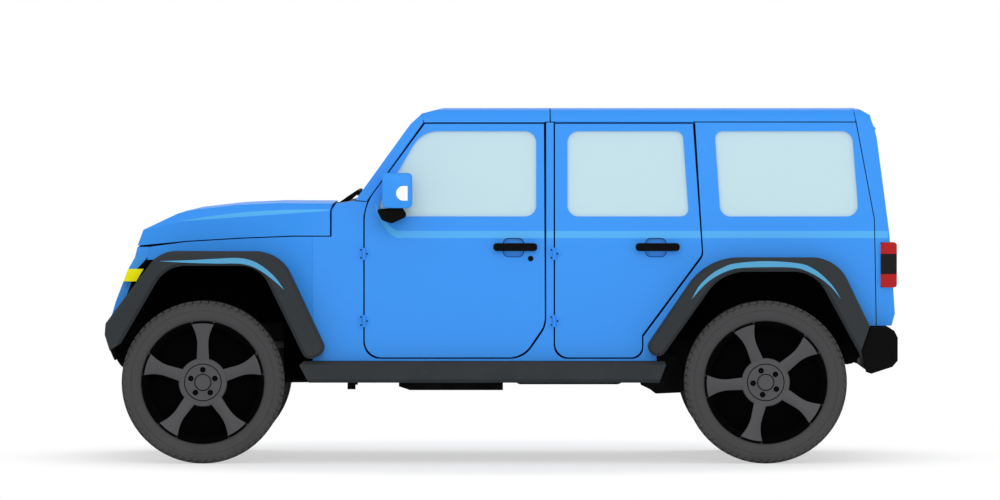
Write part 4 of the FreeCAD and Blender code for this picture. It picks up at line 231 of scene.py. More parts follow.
def new_tree(name: str, kind: str, inputs: Iterable[Sequence[str]], output: Sequence[str]) -> tuple:
    """Starts a shared node tree.

    Args:
        name: The tree's name.
        kind: The tree's type name.
        inputs: Each input's name and kind.
        output: The output's name and kind.

    Returns:
        The tree, its wiring, the inputs' sockets by name and the output's socket.
    """
    tree = bpy.data.node_groups.new(name, kind)
    for label, sort in inputs:
        tree.interface.new_socket(label, in_out="INPUT", socket_type="NodeSocket" + sort)
    tree.interface.new_socket(output[0], in_out="OUTPUT", socket_type="NodeSocket" + output[1])
    source = tree.nodes.new("NodeGroupInput")
    sink = tree.nodes.new("NodeGroupOutput")
    return tree, Wiring(tree), source.outputs, sink.inputs[0]


class Effects:
    """Shader effects that several finishes share: each takes a place on the surface and gives one value."""

    drift_detail: float = 3.0
    film_scale: float = 7.0
    film_detail: float = 6.0
    film_patch: Point = (0.35, 0.75)
    scuff_detail: float = 8.0
    scuff_roughness: float = 0.7
    scuff_level: Point = (0.62, 0.7)

    def __init__(self) -> None:
        """Builds each effect once."""
        self.grain = self.build("fine grain", (("Scale", "Float"), ("Detail", "Float")),
                                ("Height", "Float"), self.grain_value)
        drift_inputs = (("Colour", "Color"), ("Scale", "Float"), ("Amount", "Float"))
        self.drift = self.build("colour drift", drift_inputs, ("Colour", "Color"), self.drift_value)
        self.film = self.build("road film", (("Top", "Float"), ("Amount", "Float")),
                               ("Mask", "Float"), self.film_value)
        self.scuffs = self.build("scuffs", (("Scale", "Float"), ("Amount", "Float")),
                                 ("Mask", "Float"), self.scuff_value)

    def build(self, name: str, inputs: Sequence[Sequence[str]], output: Sequence[str],
              value: Callable[[Wiring, Mapping], Socket]) -> Tree:
        """Makes one effect's tree round the nodes that give its value."""
        tree, wiring, source, sink = new_tree(name, "ShaderNodeTree", (("Place", "Vector"), *inputs), output)
        tree.links.new(value(wiring, source), sink)
        return tree

    def noise(self, wiring: Wiring, source: Mapping, scale: object, detail: object,
              rough: float = 0.5) -> Socket:
        """Noise over the surface."""
        return wiring.add("ShaderNodeTexNoise", {
            "Vector": source["Place"], "Scale": scale, "Detail": detail, "Roughness": rough}).outputs[0]

    def grain_value(self, wiring: Wiring, source: Mapping) -> Socket:
        """Fine relief of paint, moulded plastic or cast metal."""
        return self.noise(wiring, source, source["Scale"], source["Detail"])

    def drift_value(self, wiring: Wiring, source: Mapping) -> Socket:
        """Slow change of a colour over the surface."""
        noise = self.noise(wiring, source, source["Scale"], self.drift_detail)
        value = wiring.math("ADD", wiring.times(wiring.minus(noise, 0.5), source["Amount"]), 1.0)
        shade = wiring.add("ShaderNodeHueSaturation", {"Color": source["Colour"], "Value": value})
        return shade.outputs[0]

    def film_value(self, wiring: Wiring, source: Mapping) -> Socket:
        """Road dust that thins out with height."""
        height = wiring.math("DIVIDE", wiring.split(source["Place"])[2], source["Top"])
        noise = self.noise(wiring, source, self.film_scale, self.film_detail)
        fade, patch = wiring.step(height, 1.0, 0.0), wiring.step(noise, *self.film_patch)
        return wiring.times(fade, patch, source["Amount"])

    def scuff_value(self, wiring: Wiring, source: Mapping) -> Socket:
        """Small worn spots."""
        noise = self.noise(wiring, source, source["Scale"], self.scuff_detail, self.scuff_roughness)
        return wiring.times(wiring.step(noise, *self.scuff_level), source["Amount"])


@dataclass(frozen=True)
class Finish:
    """A surface finish with grain, colour drift, wear and road dust."""

    name: str
    colour: tuple[int, int, int]
    roughness: float = 0.5
    metallic: float = 0.0
    coat: float = 0.0
    coat_roughness: float = 0.05
    sheen: float = 0.0
    specular: float = 0.2
    alpha: float = 1.0
    grain_scale: float = 350.0
    grain_depth: float = 0.0002
    grain_detail: float = 2.0
    drift: float = 0.12
    drift_scale: float = 2.0
    film: float = 0.15
    film_top: float = 0.9
    scuffs: float = 0.0
    scuff_scale: float = 16.0
    scuff_colour: tuple[int, int, int] = (120, 122, 124)
    dust_colour: tuple[int, int, int] = (150, 140, 125)
    dust_roughness: float = 0.5

    def ground(self, wiring: Wiring, place: Socket) -> object:
        """The colour under wear and dust: plain here, and painted by some finishes."""
        return linear(self.colour)

    def build(self, effects: Effects) -> bpy.types.Material:
        """Makes the material.

        Args:
            effects: The shared shader effects.

        Returns:
            The finished material.
        """
        material = bpy.data.materials.new(self.name)
        material.use_nodes = True
        wiring = Wiring(material.node_tree)
        shader = material.node_tree.nodes["Principled BSDF"]
        place = wiring.add("ShaderNodeTexCoord").outputs["Object"]
        colour = wiring.group(effects.drift, {
            "Place": place, "Colour": self.ground(wiring, place), "Scale": self.drift_scale,
            "Amount": self.drift})
        if self.scuffs:
            worn = wiring.group(effects.scuffs, {
                "Place": place, "Scale": self.scuff_scale, "Amount": self.scuffs})
            colour = wiring.mix(worn, colour, linear(self.scuff_colour))
        dust = wiring.group(effects.film, {"Place": place, "Top": self.film_top, "Amount": self.film})
        colour = wiring.mix(dust, colour, linear(self.dust_colour))
        rough = wiring.math("ADD", wiring.times(dust, self.dust_roughness), self.roughness)
        grain = wiring.group(effects.grain, {
            "Place": place, "Scale": self.grain_scale, "Detail": self.grain_detail})
        bump = wiring.add("ShaderNodeBump", {
            "Height": grain, "Distance": self.grain_depth, "Strength": 1.0})
        for label, socket in (("Base Color", colour), ("Roughness", rough), ("Normal", bump.outputs[0])):
            material.node_tree.links.new(socket, shader.inputs[label])
        for label, value in (("Metallic", self.metallic), ("Specular IOR Level", self.specular),
                             ("Coat Weight", self.coat), ("Coat Roughness", self.coat_roughness),
                             ("Sheen Weight", self.sheen), ("Alpha", self.alpha)):
            shader.inputs[label].default_value = value
        material.diffuse_color = linear(self.colour)
        return material


@dataclass(frozen=True)
class BodyPaint(Finish):
    """Blue paint with a painted highlight along the belt crease and a painted highlight streak along the
    hood's shoulder.
    """

    # Painted highlight: the lighter blue along the belt crease stands for light falling on it
    belt_colour: tuple[int, int, int] = (80, 172, 240)
    # Painted highlight: the streak along the hood's shoulder stands for light on it
    streak_colour: tuple[int, int, int] = (86, 178, 243)
    belt_rear: float = 4.188
    belt_end_soft: float = 0.004
    bend_x: float = 1.577
    bend_length: float = 0.131
    bend_rise: float = 0.147
    side_y: float = 0.7
    side_soft: float = 0.01
    streak_x: float = 0.378
    streak_end_x: float = 1.202
    streak_end_soft: float = 0.003
    streak_edge_soft: float = 0.0015
    streak_z: float = 1.29
    streak_top_rise: float = 0.068
    streak_low_rise: float = 0.06
    streak_bend: float = 2.4
    flank_y: float = 0.41
    flank_soft: float = 0.02

    def ground(self, wiring: Wiring, place: Socket) -> Socket:
        """Lays the painted belt highlight and the painted highlight streak over the plain blue."""
        x, y, z = wiring.split(place)
        station = wiring.minus(x, FRONT_X)
        out = wiring.math("ABSOLUTE", y)
        colour = wiring.mix(self.belt(wiring, station, out, z), linear(self.colour), linear(self.belt_colour))
        return wiring.mix(self.streak(wiring, station, out, z), colour, linear(self.streak_colour))

    def belt(self, wiring: Wiring, station: Socket, out: Socket, height: Socket) -> Socket:
        """Where the painted highlight along the belt crease lies: level along the side, and bent upwards at
        its front end.
        """
        outside = wiring.step(out, self.side_y - self.side_soft, self.side_y)
        back = wiring.minus(self.bend_x, station)
        turn = wiring.math("MAXIMUM", wiring.math("DIVIDE", back, self.bend_length), 0.0)
        level = wiring.minus(height, wiring.times(turn, turn, self.bend_rise))
        reach = wiring.band(station, self.bend_x - self.bend_length, self.belt_rear, self.belt_end_soft)
        return wiring.times(wiring.band(level, BELT_LOW, BELT_HIGH), reach, outside)

    def streak(self, wiring: Wiring, station: Socket, out: Socket, height: Socket) -> Socket:
        """Where the painted highlight streak lies: between a straight lower edge and an arched upper one."""
        length = self.streak_end_x - self.streak_x
        run = wiring.math("DIVIDE", wiring.minus(station, self.streak_x), length)
        left = wiring.math("MAXIMUM", wiring.minus(1.0, run), 0.0)
        arch = wiring.minus(1.0, wiring.math("POWER", left, self.streak_bend))
        rise = wiring.minus(height, self.streak_z)
        under = wiring.minus(wiring.times(arch, self.streak_top_rise), rise)
        above = wiring.minus(rise, wiring.times(run, self.streak_low_rise))
        inside = wiring.step(wiring.math("MINIMUM", under, above), 0.0, self.streak_edge_soft)
        within = wiring.band(station, self.streak_x, self.streak_end_x, self.streak_end_soft)
        flank = wiring.step(out, self.flank_y, self.flank_y + self.flank_soft)
        return wiring.times(inside, within, flank)


@dataclass(frozen=True)
class TailLens(Finish):
    """Red lens with a dark middle section."""

    middle_colour: tuple[int, int, int] = (14, 13, 18)
    middle_low: float = 1.011
    middle_high: float = 1.12

    def ground(self, wiring: Wiring, place: Socket) -> Socket:
        """Lays the dark section over the red."""
        inside = wiring.band(wiring.split(place)[2], self.middle_low, self.middle_high)
        return wiring.mix(inside, linear(self.colour), linear(self.middle_colour))


class Finishes(Enum):
    """Every finish of the vehicle."""

    # The blue paint carries painted highlights along the belt crease and on the hood's shoulder
    PAINT = BodyPaint("blue paint", (54, 147, 241), roughness=0.45, coat=0.05, specular=0.12,
                      grain_scale=900, grain_depth=0.00004, drift=0.03, film=0.06, film_top=0.7)
    INNER = Finish("inner paint", (40, 44, 52), roughness=0.6, film=0.1)
    FLARE = Finish("flare plastic", (46, 50, 53), roughness=0.66, grain_scale=420, grain_depth=0.0005,
                   film=0.04, scuffs=0.1, specular=0.15)
    # Painted reflection: the flares' pale blue crescents stand for the sky's reflection on them
    GLINT = Finish("flare inlay", (78, 157, 200), roughness=0.4, grain_scale=300, film=0.03)
    TRIM = Finish("black trim", (5, 5, 6), roughness=0.6, grain_scale=500, grain_depth=0.0003, film=0.01,
                  specular=0.05)
    SEAL = Finish("rubber seal", (5, 5, 6), roughness=0.85, grain_scale=400, grain_depth=0.0003, film=0.0,
                  specular=0.06)
    # Near black: the wheel liners' own black made darker as painted shade, and painted shade in the rim's
    # hollows and the aprons
    WELL = Finish("wheel house black", (3, 3, 3), roughness=0.95, grain_scale=120, grain_depth=0.001,
                  drift=0.3, film=0.0, specular=0.03)
    GLASS = Finish("window glass", (199, 229, 237), roughness=0.06, alpha=0.86, grain_scale=3,
                   grain_depth=0.0001, drift=0.03, film=0.02, film_top=1.6)
    CLEAR = Finish("lamp glass", (235, 240, 245), roughness=0.04, alpha=0.3, grain_scale=60,
                   grain_depth=0.0004, film=0.02, specular=0.5)
    TYRE = Finish("tyre rubber", (71, 71, 72), roughness=0.9, grain_scale=260, grain_depth=0.0005,
                  film=0.07, film_top=0.45, scuffs=0.08, specular=0.1)
    ALLOY = Finish("wheel paint", (74, 74, 76), roughness=0.5, metallic=0.1, grain_scale=500,
                   grain_depth=0.0001, film=0.05, film_top=0.45)
    STEEL = Finish("bright steel", (150, 152, 156), roughness=0.35, metallic=0.9, scuffs=0.2,
                   scuff_colour=(90, 84, 78))
    CHASSIS = Finish("frame paint", (7, 7, 8), roughness=0.75, grain_scale=150, grain_depth=0.0008,
                     film=0.04, scuffs=0.1, scuff_colour=(50, 44, 40), specular=0.1)
    IRON = Finish("engine iron", (110, 110, 112), roughness=0.6, metallic=0.6, grain_scale=180,
                  grain_depth=0.0008)
    LAMP = Finish("lamp chrome", (225, 228, 232), roughness=0.08, metallic=1.0, grain_scale=80)
    TAIL = TailLens("tail lens", (174, 26, 28), roughness=0.3, coat=0.03, specular=0.06, grain_scale=90,
                    grain_depth=0.0006, film=0.0)
    MARKER = Finish("amber marker", (250, 246, 0), roughness=0.4, specular=0.08, grain_scale=90,
                    grain_depth=0.0006, film=0.0)
    MIRROR = Finish("mirror glass", (244, 246, 248), roughness=0.2, grain_scale=3, film=0.0)
    FABRIC = Finish("seat cloth", (52, 55, 60), roughness=0.9, sheen=0.3, grain_scale=700,
                    grain_depth=0.0012, drift=0.15, drift_scale=6, film=0.0)
    DASH = Finish("dashboard skin", (38, 38, 41), roughness=0.68, grain_scale=800, grain_depth=0.0006)
    TANK = Finish("tank plastic", (10, 10, 11), roughness=0.7, grain_scale=260, grain_depth=0.0006,
                  specular=0.1)


class Palette:
    """Gives each finish as a material, built once."""

    def __init__(self) -> None:
        """Builds the shared effects and all materials."""
        effects = Effects()
        self.made = {finish: finish.value.build(effects) for finish in Finishes}

    def __getitem__(self, finish: Finishes) -> bpy.types.Material:
        """The material of a finish."""
        return self.made[finish]


def extruded(outline: Profile, near_y: float, far_y: float) -> Mesh:
    """A prism with an outline in x and z that runs from one y to another."""
    mesh = bmesh.new()
    near, far = ([mesh.verts.new((x, y, z)) for x, z in outline] for y in (near_y, far_y))
    mesh.faces.new(near)
    mesh.faces.new(list(reversed(far)))
    for index in range(len(outline)):
        after = (index + 1) % len(outline)
        mesh.faces.new((near[index], far[index], far[after], near[after]))
    bmesh.ops.recalc_face_normals(mesh, faces=mesh.faces)
    return mesh


def spun(profile: Profile, sides: int, closed: bool = True) -> Mesh:
    """A lathe shape about the y axis.

    Args:
        profile: Points of y and radius, in order round the section.
        sides: How many steps a turn has.
        closed: Whether the section's last point joins its first.

    Returns:
        The mesh, with points on the axis merged.
    """
    mesh = bmesh.new()
    rings = []
    for index in range(sides):
        angle = math.tau * index / sides
        rings.append([mesh.verts.new((radius * math.sin(angle), y, -radius * math.cos(angle)))
                      for y, radius in profile])
    count = len(profile)
    for index in range(sides):
        here, there = rings[index], rings[(index + 1) % sides]
        for step in range(count if closed else count - 1):
            after = (step + 1) % count
            mesh.faces.new((here[step], here[after], there[after], there[step]))
    bmesh.ops.remove_doubles(mesh, verts=mesh.verts, dist=SAME_POLE)
    bmesh.ops.recalc_face_normals(mesh, faces=mesh.faces)
    return mesh


def lofted(sections: Sequence[Sequence[Spot]], closed: bool = False) -> Mesh:
    """A strip through sections of equally many points, joined into a ring or capped at its ends."""
    mesh = bmesh.new()
    rows = [[mesh.verts.new(point) for point in section] for section in sections]
    count = len(rows[0])
    for number in range(len(rows) if closed else len(rows) - 1):
        here, there = rows[number], rows[(number + 1) % len(rows)]
        for index in range(count):
            after = (index + 1) % count
            mesh.faces.new((here[index], here[after], there[after], there[index]))
    if not closed:
        mesh.faces.new(list(reversed(rows[0])))
        mesh.faces.new(rows[-1])
    bmesh.ops.recalc_face_normals(mesh, faces=mesh.faces)
    return mesh


def rounded_outline(corners: Sequence[Spot]) -> list[Point]:
    """An outline of x, z and radius corners with its corners turned into arcs."""
    outline = []
    for index, (x, z, radius) in enumerate(corners):
        if not radius:
            outline.append((x, z))
            continue
        here = Vector((x, z))
        before = (Vector(corners[index - 1][:2]) - here).normalized()
        after = (Vector(corners[(index + 1) % len(corners)][:2]) - here).normalized()
        half = before.angle(after) / 2
        centre = here + (before + after).normalized() * radius / math.sin(half)
        first = (here + before * radius / math.tan(half) - centre).normalized()
        last = (here + after * radius / math.tan(half) - centre).normalized()
        outline.extend(tuple(centre + first.slerp(last, step / CORNER_STEPS) * radius)
                       for step in range(CORNER_STEPS + 1))
    return outline


def divided(points: Profile, reach: float, closed: bool = False) -> list[Point]:
    """A line with points added so that none of its runs is longer than reach."""
    made = []
    ends = list(points[1:]) + [points[0]] if closed else list(points[1:])
    for (x, z), (next_x, next_z) in zip(points, ends):
        count = max(1, math.ceil(math.hypot(next_x - x, next_z - z) / reach))
        made.extend((x + (next_x - x) * k / count, z + (next_z - z) * k / count) for k in range(count))
    return made if closed else made + [points[-1]]


def curved(points: Profile) -> list[Point]:
    """A smooth line through all its points."""
    made = []
    for index in range(len(points) - 1):
        before, after = points[max(index - 1, 0)], points[min(index + 2, len(points) - 1)]
        start, end = points[index], points[index + 1]
        for step in range(CURVE_STEPS):
            share = step / CURVE_STEPS
            made.append(tuple(
                (1 - share) ** 3 * a + 3 * (1 - share) ** 2 * share * (a + (b - prior) / 6)
                + 3 * (1 - share) * share ** 2 * (b - (later - a) / 6) + share ** 3 * b
                for prior, a, b, later in zip(before, start, end, after)))
    return made + [tuple(points[-1])]


def side_steps(points: Profile, closed: bool = False) -> list[Point]:
    """The unit step sideways, to the left, at each point of a line."""
    steps = []
    count = len(points)
    for index in range(count):
        before = points[index - 1] if closed or index else points[index]
        after = points[(index + 1) % count] if closed or index < count - 1 else points[index]
        run = Vector((after[0] - before[0], after[1] - before[1])).normalized()
        steps.append((-run.y, run.x))
    return steps


def rounded_box(low: Sequence[float], high: Sequence[float], radius: float, steps: int = 3) -> Mesh:
    """A box between two corners with all its edges rounded."""
    mesh = bmesh.new()
    bmesh.ops.create_cube(mesh, size=1.0)
    bmesh.ops.scale(mesh, vec=[b - a for a, b in zip(low, high)], verts=mesh.verts)
    bmesh.ops.translate(mesh, vec=[(a + b) / 2 for a, b in zip(low, high)], verts=mesh.verts)
    bmesh.ops.bevel(mesh, geom=mesh.edges[:], offset=radius, segments=steps, profile=0.5,
                    affect="EDGES", clamp_overlap=True)
    return mesh


def station_box(x: Point, y: Point, z: Point, radius: float, steps: int = 3, side: int = 1) -> Mesh:
    """A rounded box.

    Args:
        x: The stations that it runs between.
        y: The distances to the right that it runs between, or to the left where side is negative.
        z: The heights that it runs between.
        radius: The radius of its edges.
        steps: How many steps a rounded edge has.
        side: The sign of the side that it lies on.

    Returns:
        The mesh in the frame's own place.
    """
    near, far = sorted(side * value for value in y)
    return rounded_box((along(x[0]), near, z[0]), (along(x[1]), far, z[1]), radius, steps)


def eased(mesh: Mesh, width: float, sharper: float) -> Mesh:
    """Rounds the edges whose faces turn by more than an angle in radians."""
    edges = [edge for edge in mesh.edges if len(edge.link_faces) == 2 and edge.calc_face_angle() > sharper]
    bmesh.ops.bevel(mesh, geom=edges, offset=width, segments=EASE_STEPS, profile=0.5, affect="EDGES",
                    clamp_overlap=True)
    return mesh


def turned(mesh: Mesh, matrix: Matrix) -> Mesh:
    """Moves a mesh by a matrix, and keeps its faces outwards when that mirrors it."""
    mesh.transform(matrix)
    if matrix.determinant() < 0:
        bmesh.ops.reverse_faces(mesh, faces=mesh.faces)
    return mesh


def joined(parts: Iterable[Mesh]) -> Mesh:
    """Several meshes as one."""
    whole = bmesh.new()
    for part in parts:
        mesh = bpy.data.meshes.new("part")
        part.to_mesh(mesh)
        part.free()
        whole.from_mesh(mesh)
        bpy.data.meshes.remove(mesh)
    return whole


def in_scene(name: str, data: bpy.types.ID) -> Piece:
    """A mesh, a lamp or a camera as an object in the scene."""
    made = bpy.data.objects.new(name, data)
    bpy.context.scene.collection.objects.link(made)
    return made


def as_object(name: str, mesh: Mesh) -> Piece:
    """A working mesh as an object in the scene."""
    data = bpy.data.meshes.new(name)
    mesh.to_mesh(data)
    mesh.free()
    return in_scene(name, data)


def welded(node: str) -> Mesh:
    """A copy of a CAD node's mesh with its doubled points merged."""
    mesh = bmesh.new()
    mesh.from_mesh(frame["nodes"][node].data)
    bmesh.ops.remove_doubles(mesh, verts=mesh.verts, dist=SAME_PLACE)
    return mesh


def flattened(mesh: Mesh) -> Mesh:
    """Joins the faces of a mesh that lie in one plane."""
    limit = math.radians(SAME_FACE_TURN)
    bmesh.ops.dissolve_limit(mesh, angle_limit=limit, verts=mesh.verts, edges=mesh.edges)
    return mesh


def smooth_by_angle(data: bpy.types.Mesh, degrees: float) -> None:
    """Shades a mesh smooth and keeps the edges sharper than an angle."""
    data.shade_smooth()
    data.set_sharp_from_angle(angle=math.radians(degrees))


def evaluated(piece: Piece) -> bpy.types.Mesh:
    """The mesh that an object's modifiers give."""
    graph = bpy.context.evaluated_depsgraph_get()
    return bpy.data.meshes.new_from_object(piece.evaluated_get(graph), depsgraph=graph)


def settle(piece: Piece) -> None:
    """Turns an object's modifiers into its plain mesh."""
    bpy.context.view_layer.update()
    data = evaluated(piece)
    piece.modifiers.clear()
    old = piece.data
    piece.data = data
    bpy.data.meshes.remove(old)


def taken(piece: Piece, mesh: Mesh | None = None) -> Mesh:
    """An object's mesh, added to another one, with the object removed."""
    mesh = bmesh.new() if mesh is None else mesh
    mesh.from_mesh(piece.data)
    bpy.data.objects.remove(piece)
    return mesh


class Copies:
    """Geometry Nodes trees for what repeats."""

    spring_steps: int = 20
    wire_sides: int = 8

    def __init__(self) -> None:
        """Builds each tree once."""
        piece, count = ("Piece", "Geometry"), ("Count", "Int")
        self.round = self.build("copies round an axle", (piece, count, ("Start", "Float")), self.round_points)
        self.row = self.build("copies in a row", (piece, count, ("Step", "Vector")), self.row_points)
        coil = (("Feet", "Geometry"), *((name, "Float") for name in ("Turns", "Radius", "Height", "Wire")))
        self.coil = self.build("coil springs", coil, self.coil_points)
        spots = (("Spots", "Geometry"), ("Piece", "Object"))
        self.spots = self.build("fasteners on spots", spots, self.spot_points)

    def build(self, name: str, inputs: Sequence[Sequence[str]],
              spread: Callable[[Wiring, Mapping], dict]) -> Tree:
        """Makes one tree: copies on points, realized and given their material.

        Args:
            name: The tree's name.
            inputs: Each input's name and kind. A material input is added to them.
            spread: Gives the points, the piece that is copied and its turn.

        Returns:
            The tree.
        """
        inputs = (*inputs, ("Finish", "Material"))
        tree, wiring, source, sink = new_tree(name, "GeometryNodeTree", inputs, ("Shape", "Geometry"))
        copies = wiring.add("GeometryNodeInstanceOnPoints", spread(wiring, source))
        real = wiring.add("GeometryNodeRealizeInstances", {0: copies.outputs[0]})
        dressed = wiring.add("GeometryNodeSetMaterial", {
            "Geometry": real.outputs[0], "Material": source["Finish"]})
        tree.links.new(dressed.outputs[0], sink)
        return tree

    def round_points(self, wiring: Wiring, source: Mapping) -> dict:
        """Copies of a piece turned about an axle along y."""
        points = wiring.add("GeometryNodePoints", {"Count": source["Count"]})
        index = wiring.add("GeometryNodeInputIndex").outputs[0]
        share = wiring.math("DIVIDE", index, source["Count"])
        angle = wiring.math("ADD", wiring.times(share, math.tau), source["Start"])
        turn = wiring.add("ShaderNodeCombineXYZ", {1: angle})
        return {"Points": points.outputs[0], "Instance": source["Piece"], "Rotation": turn.outputs[0]}

    def row_points(self, wiring: Wiring, source: Mapping) -> dict:
        """Copies of a piece along a straight line."""
        line = wiring.add("GeometryNodeMeshLine", {"Count": source["Count"], "Offset": source["Step"]})
        return {"Points": line.outputs[0], "Instance": source["Piece"]}

    def coil_points(self, wiring: Wiring, source: Mapping) -> dict:
        """A coil spring standing on each point of a mesh."""
        spiral = wiring.add("GeometryNodeCurveSpiral", {
            "Resolution": self.spring_steps, "Rotations": source["Turns"], "Start Radius": source["Radius"],
            "End Radius": source["Radius"], "Height": source["Height"]})
        wire = wiring.add("GeometryNodeCurvePrimitiveCircle", {
            "Resolution": self.wire_sides, "Radius": source["Wire"]})
        tube = wiring.add("GeometryNodeCurveToMesh", {
            "Curve": spiral.outputs[0], "Profile Curve": wire.outputs[0], "Fill Caps": True})
        return {"Points": source["Feet"], "Instance": tube.outputs[0]}

    def spot_points(self, wiring: Wiring, source: Mapping) -> dict:
        """Copies of a small piece on points, each facing its point's own way."""
        facing = wiring.add("GeometryNodeInputNamedAttribute", {"Name": "facing"}, data_type="FLOAT_VECTOR")
        aim = wiring.add("FunctionNodeAlignRotationToVector", {"Vector": facing.outputs[0]}, axis="Z")
        piece = wiring.add("GeometryNodeObjectInfo", {"Object": source["Piece"]})
        return {"Points": source["Spots"], "Instance": piece.outputs["Geometry"], "Rotation": aim.outputs[0]}

    def run(self, piece: Piece, tree: Tree, values: Mapping) -> Piece:
        """Runs a tree on an object and keeps the result as its mesh.

        Args:
            piece: The object that the tree starts from.
            tree: One of the trees above.
            values: The value of each input, by its name.

        Returns:
            The same object with a plain mesh.
        """
        modifier = piece.modifiers.new("copies", "NODES")
        modifier.node_group = tree
        sockets = {item.name: item.identifier for item in tree.interface.items_tree
                   if item.item_type == "SOCKET" and item.in_out == "INPUT"}
        for name, value in values.items():
            modifier[sockets[name]] = value
        settle(piece)
        return piece


@dataclass
class Assembly:
    """What every sub-assembly shares: the palette, the copy trees and the way a piece is handed over."""

    palette: Palette
    copies: Copies

    def hand_over(self, piece: Piece, finish: Finishes | None, body: str = "body",
                  replaced: Sequence[str] = (), slot: Slot | None = None,
                  smooth: float | None = 35.0) -> Piece:
        """Dresses a piece and lets it ride on a body.

        Args:
            piece: The finished object.
            finish: Its finish, or None where its mesh has its materials already.
            body: The body that it moves with.
            replaced: The nodes that it stands for.
            slot: The record's slot that it belongs to; not used.
            smooth: The angle in degrees above which an edge stays sharp, or None where that is set.

        Returns:
            The same object.
        """
        if finish is not None:
            self.coat(piece.data, finish)
        if smooth is not None:
            smooth_by_angle(piece.data, smooth)
        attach(piece, body)
        if replaced:
            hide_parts(*replaced)
        LOG.info("%s rides on %s with %d faces", piece.name, body, len(piece.data.polygons))
        return piece

    def add(self, name: str, mesh: Mesh, finish: Finishes | None, body: str = "body",
            replaced: Sequence[str] = (), slot: Slot | None = None) -> Piece:
        """Makes an object of a mesh and hands it over."""
        return self.hand_over(as_object(name, mesh), finish, body, replaced, slot)

    def coat(self, data: bpy.types.Mesh, finish: Finishes) -> None:
        """Gives a mesh one finish."""
        data.materials.clear()
        data.materials.append(self.palette[finish])

    def dress(self, nodes: Iterable[str], finish: Finishes) -> None:
        """Gives CAD nodes a finish."""
        for name in nodes:
            self.coat(frame["nodes"][name].data, finish)
            LOG.info("%s keeps its shape", name)

    def body_of(self, node: str) -> str:
        """The body that carries a CAD node."""
        return frame["nodes"][node]["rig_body"]


